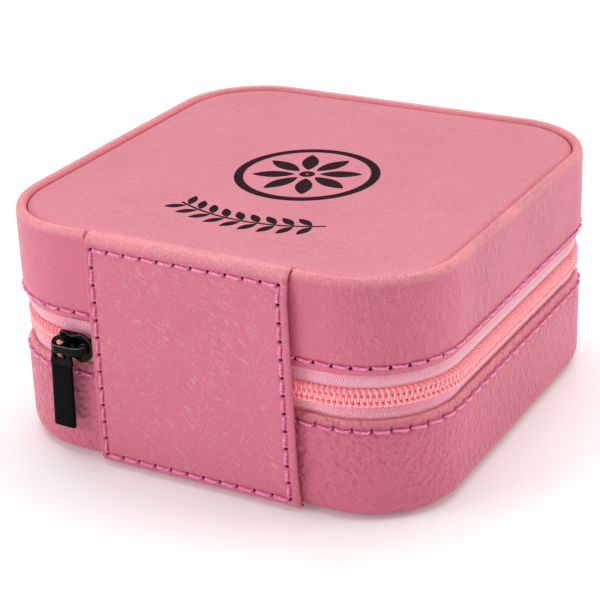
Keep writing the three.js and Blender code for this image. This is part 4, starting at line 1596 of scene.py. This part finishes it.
def snap(number):
    """The cap and socket on the strap, and the stud on the lid's ceiling."""
    cap, stud = f"snap_cap_{number}", f"snap_stud_{number}"
    x, y = middle_of(cap, 0), middle_of(cap, 1)
    r = half_of(cap, 0)
    low, high = span(cap, 2)
    dome = [(0.1, low), (0.35 * r, low + 0.02), (0.62 * r, low + 0.1), (0.7 * r, low + 0.22)]
    groove = [(0.76 * r, low + 0.2), (0.86 * r, low + 0.22)]
    edge = groove + [(0.95 * r, low + 0.36), (r, low + 0.58), (r, low + 0.8), (0.95 * r, high)]
    socket_low = span(f"necklace_strap_{number}", 2)[1] - 0.05
    ring = [(2.3, socket_low), (2.35, socket_low + 0.14), (2.2, socket_low + 0.22), (1.75, socket_low + 0.22)]
    well = [(1.62, socket_low + 0.15), (1.6, socket_low + 0.04), (0.1, socket_low + 0.04)]
    cap_piece = mesh_object(f"snap_cap_{number}_nickel", [lathe(x, y, dome + edge)], NICKEL)
    socket = mesh_object(f"snap_socket_{number}", [lathe(x, y, ring + well)], NICKEL)
    for thing in (cap_piece, socket):
        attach(thing, f"strap_{number}")
        finish(thing, "nickel")
    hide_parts(cap)
    low, high = span(stud, 2)
    r = half_of(stud, 0)
    ball = [(0.1, low), (0.9, low + 0.03), (1.35, low + 0.14), (1.45, low + 0.27), (1.25, low + 0.42)]
    flange = [(1.2, high - 0.28), (0.94 * r, high - 0.24), (r, high - 0.16), (r, high)]
    stud_piece = mesh_object(f"snap_stud_{number}_nickel", [lathe(x, y, ball + flange)], NICKEL)
    place(stud_piece, "lid", "nickel", stud)


def lid_pocket():
    """A satin pocket on the lid's ceiling, gathered along its mouth and fullest just behind it."""
    half = span("lid_pocket", 0)[1]
    mouth, hem = span("lid_pocket", 1)
    ceiling = span("lid_pocket", 2)[1]
    v = np.concatenate([np.linspace(mouth, hem - 0.6, 52), [hem - 0.25, hem]])
    u = np.linspace(-1, 1, 400)
    past = np.clip(v - (hem - POCKET_CORNER), 0, POCKET_CORNER)
    wide = half - POCKET_CORNER + np.sqrt(POCKET_CORNER**2 - past**2)
    x = wide[:, None] * u[None, :]
    y = np.repeat(v[:, None], len(u), 1)
    to_edge = np.minimum(wide[:, None] * (1 - np.abs(u))[None, :], (hem - v)[:, None])
    inside = 1 - np.exp(-np.clip(to_edge, 0, None) / 2.2)
    along = (v[:, None] - mouth) / (hem - mouth)
    wander = 0.5 * np.sin(7.3 * u[None, :] + 1.1) + 0.35 * np.sin(17.0 * u[None, :] + 2.0 + 1.7 * along)
    fold = np.cos(math.pi * POCKET_GATHERS * u[None, :] + wander)
    fade = np.exp(-along * 2.1) * 0.85 + 0.15
    puff = 1.5 * np.sin(math.pi * np.clip(along, 0, 1) ** 0.6) * inside
    z = ceiling - 0.35 - inside * (POCKET_GATHER_DEPTH * fade * (1 + fold) * 0.75) - puff
    front = np.stack([x, y, z], -1)
    back = front + [0, 0, 0.22]
    rows, columns = z.shape
    count = rows * columns
    faces = grid_faces(rows, columns)
    faces += [[count + i for i in face][::-1] for face in faces]
    border = [i * columns for i in range(rows)] + [(rows - 1) * columns + j for j in range(1, columns)]
    border += [i * columns + columns - 1 for i in range(rows - 2, -1, -1)] + list(range(columns - 2, 0, -1))
    faces += [[a, b, b + count, a + count] for a, b in zip(border, border[1:] + border[:1])]
    points = np.concatenate([front.reshape(-1, 3), back.reshape(-1, 3)])
    pocket = mesh_object("lid_pocket_satin", [(points, faces)], SATIN)
    place(pocket, "lid", "pocket_satin", "lid_pocket")
    band = pocket_band()
    hem_rows = pocket_stitches(half, mouth, hem, ceiling)


def pocket_band():
    """The elastic in its channel, which draws the mouth's cloth into small tucks."""
    x0, x1 = span("pocket_elastic_band", 0)
    y0, y1 = span("pocket_elastic_band", 1)
    z0, z1 = span("pocket_elastic_band", 2)
    x = np.linspace(x0, x1, 420)
    middle = np.stack([x, 0 * x + (y0 + y1) / 2, 0 * x + (z0 + z1) / 2], -1)
    turn = np.linspace(0, 2 * math.pi, 24, endpoint=False)
    tuck = 1 - 0.16 * (1 - np.cos(2 * math.pi * x / 1.9 + 0.8 * np.sin(x / 3.1)))
    ends = np.clip((x1 - np.abs(x)) / 0.6, 0.35, 1)
    y = (y1 - y0) / 2 * rounded(np.cos(turn), 0.6)[None, :] * (0.9 + 0.1 * tuck[:, None])
    z = (z1 - z0) / 2 * rounded(np.sin(turn), 0.8)[None, :] * tuck[:, None] * ends[:, None]
    grid = np.stack([np.repeat(x[:, None], 24, 1), middle[:, 1:2] + y, middle[:, 2:] + z], -1)
    band = mesh_object("pocket_elastic_band_satin", [capped_rings(grid)], SATIN)
    place(band, "lid", "pocket_satin", "pocket_elastic_band")
    return band


def pocket_stitches(half, mouth, hem, ceiling):
    """The row of stitches that holds the pocket down round its sides and hem."""
    inset = 0.9
    side = [(half - inset, y) for y in np.arange(mouth + 1, hem - POCKET_CORNER, 2.4)]
    straight = half - POCKET_CORNER
    bend = turned((straight, hem - POCKET_CORNER), POCKET_CORNER - inset, 0, 90, 8)
    across = [(x, hem - inset) for x in np.linspace(straight, -straight, 22)[1:]]
    left = [(-x, y) for x, y in bend[::-1][1:] + side[::-1]]
    route = [(x, y) for x, y in side + bend + across] + left
    face = ceiling - 0.72
    parts = []
    for (xa, ya), (xb, yb) in zip(route, route[1:]):
        gap = np.array([xb - xa, yb - ya])
        step = gap / np.linalg.norm(gap)
        start = np.array([xa, ya]) + 0.25 * step
        stop = np.array([xb, yb]) - 0.25 * step
        parts += strand_pair((*start, face), (*stop, face), (0, 0, -1), (-step[1], step[0], 0))
    thing = mesh_object("lid_pocket_stitching", parts, THREAD)
    place(thing, "lid", "pocket_satin")
    return thing


ring_rolls()
for strap_number in (1, 2, 3):
    necklace_strap(strap_number)
    snap(strap_number)
lid_pocket()


# ---- Studio ----------------------------------------------------------------------------------

CAMERA_ANGLES = (209.41, 24.26, -2.11)  # azimuth, elevation and roll, in degrees
CAMERA_TARGET = (-3.49, 11.09, 25.66)
CAMERA_DISTANCE = 392.29
CAMERA_LENS = 109.9
CASE_MIDDLE = (0, 0, 0.03)
WORLD_LIGHT = 0.205
OVERHEAD_POWER = 2.4
OVERHEAD_SPREAD = math.radians(70)
OVERHEAD_LEAN = (0.12, -0.25, 1)
SOFTBOX_SIZE = 0.45
FLOOR_REACH = 3.0
FLOOR_GLOW = 0.13  # keeps the floor near white
FLOOR_GAP = 0.0002  # the floor lies this far below the case


def camera():
    """The viewpoint: azimuth, elevation, roll and distance about a point near the case's middle."""
    azimuth, elevation, roll = (math.radians(angle) for angle in CAMERA_ANGLES)
    level = math.cos(elevation)
    back = Vector((math.sin(azimuth) * level, -math.cos(azimuth) * level, math.sin(elevation)))
    right = (-back).cross(Vector((0, 0, 1))).normalized()
    up = right.cross(-back)
    turned_right = right * math.cos(roll) + up * math.sin(roll)
    turned_up = up * math.cos(roll) - right * math.sin(roll)
    lens = bpy.data.cameras.new("camera")
    lens.sensor_width = 36
    lens.lens = CAMERA_LENS
    eye = linked("camera", lens)
    target = Vector(CAMERA_TARGET) * MM
    basis = Matrix((turned_right, turned_up, back)).transposed().to_4x4()
    eye.matrix_world = Matrix.Translation(target + back * CAMERA_DISTANCE * MM) @ basis
    bpy.context.scene.camera = eye


def softbox(name, where, power, colour=(1, 1, 1)):
    """A round area light that faces the case."""
    lamp = bpy.data.lights.new(name, "AREA")
    lamp.shape = "DISK"
    lamp.size = SOFTBOX_SIZE
    lamp.energy = power
    lamp.color = colour
    thing = linked(name, lamp)
    thing.location = where
    thing.rotation_euler = (Vector(CASE_MIDDLE) - Vector(where)).to_track_quat("-Z", "Y").to_euler()


def overhead_light():
    """A wide, even source straight overhead, leaning a little away from the camera."""
    lamp = bpy.data.lights.new("overhead", "SUN")
    lamp.energy = OVERHEAD_POWER
    lamp.angle = OVERHEAD_SPREAD
    thing = linked("overhead", lamp)
    thing.rotation_euler = Vector(OVERHEAD_LEAN).to_track_quat("Z", "Y").to_euler()


def studio():
    """White surroundings, three lights and a pale floor."""
    scene = bpy.context.scene
    scene.view_settings.view_transform = "Standard"
    world = bpy.data.worlds.new("studio")
    world.use_nodes = True
    world.node_tree.nodes["Background"].inputs["Color"].default_value = (1, 1, 1, 1)
    world.node_tree.nodes["Background"].inputs["Strength"].default_value = WORLD_LIGHT
    scene.world = world
    overhead_light()
    softbox("left_softbox", (0.55, 0.6, 0.34), 2.3)
    softbox("right_softbox", (-0.7, -0.35, 0.38), 1.9, (1.0, 0.96, 0.89))
    floor = bpy.data.meshes.new("floor")
    corners = [(-1, -1), (1, -1), (1, 1), (-1, 1)]
    floor.from_pydata([(x * FLOOR_REACH, y * FLOOR_REACH, 0) for x, y in corners], [], [(0, 1, 2, 3)])
    surface = Surface("floor", (0.93, 0.93, 0.93), Roughness=0.9, Specular_IOR_Level=0.1)
    surface.add_glow((1.0, 1.0, 1.0), FLOOR_GLOW)
    floor.materials.append(surface.material)
    ground = linked("floor", floor)
    ground.location.z = -FLOOR_GAP


camera()
studio()
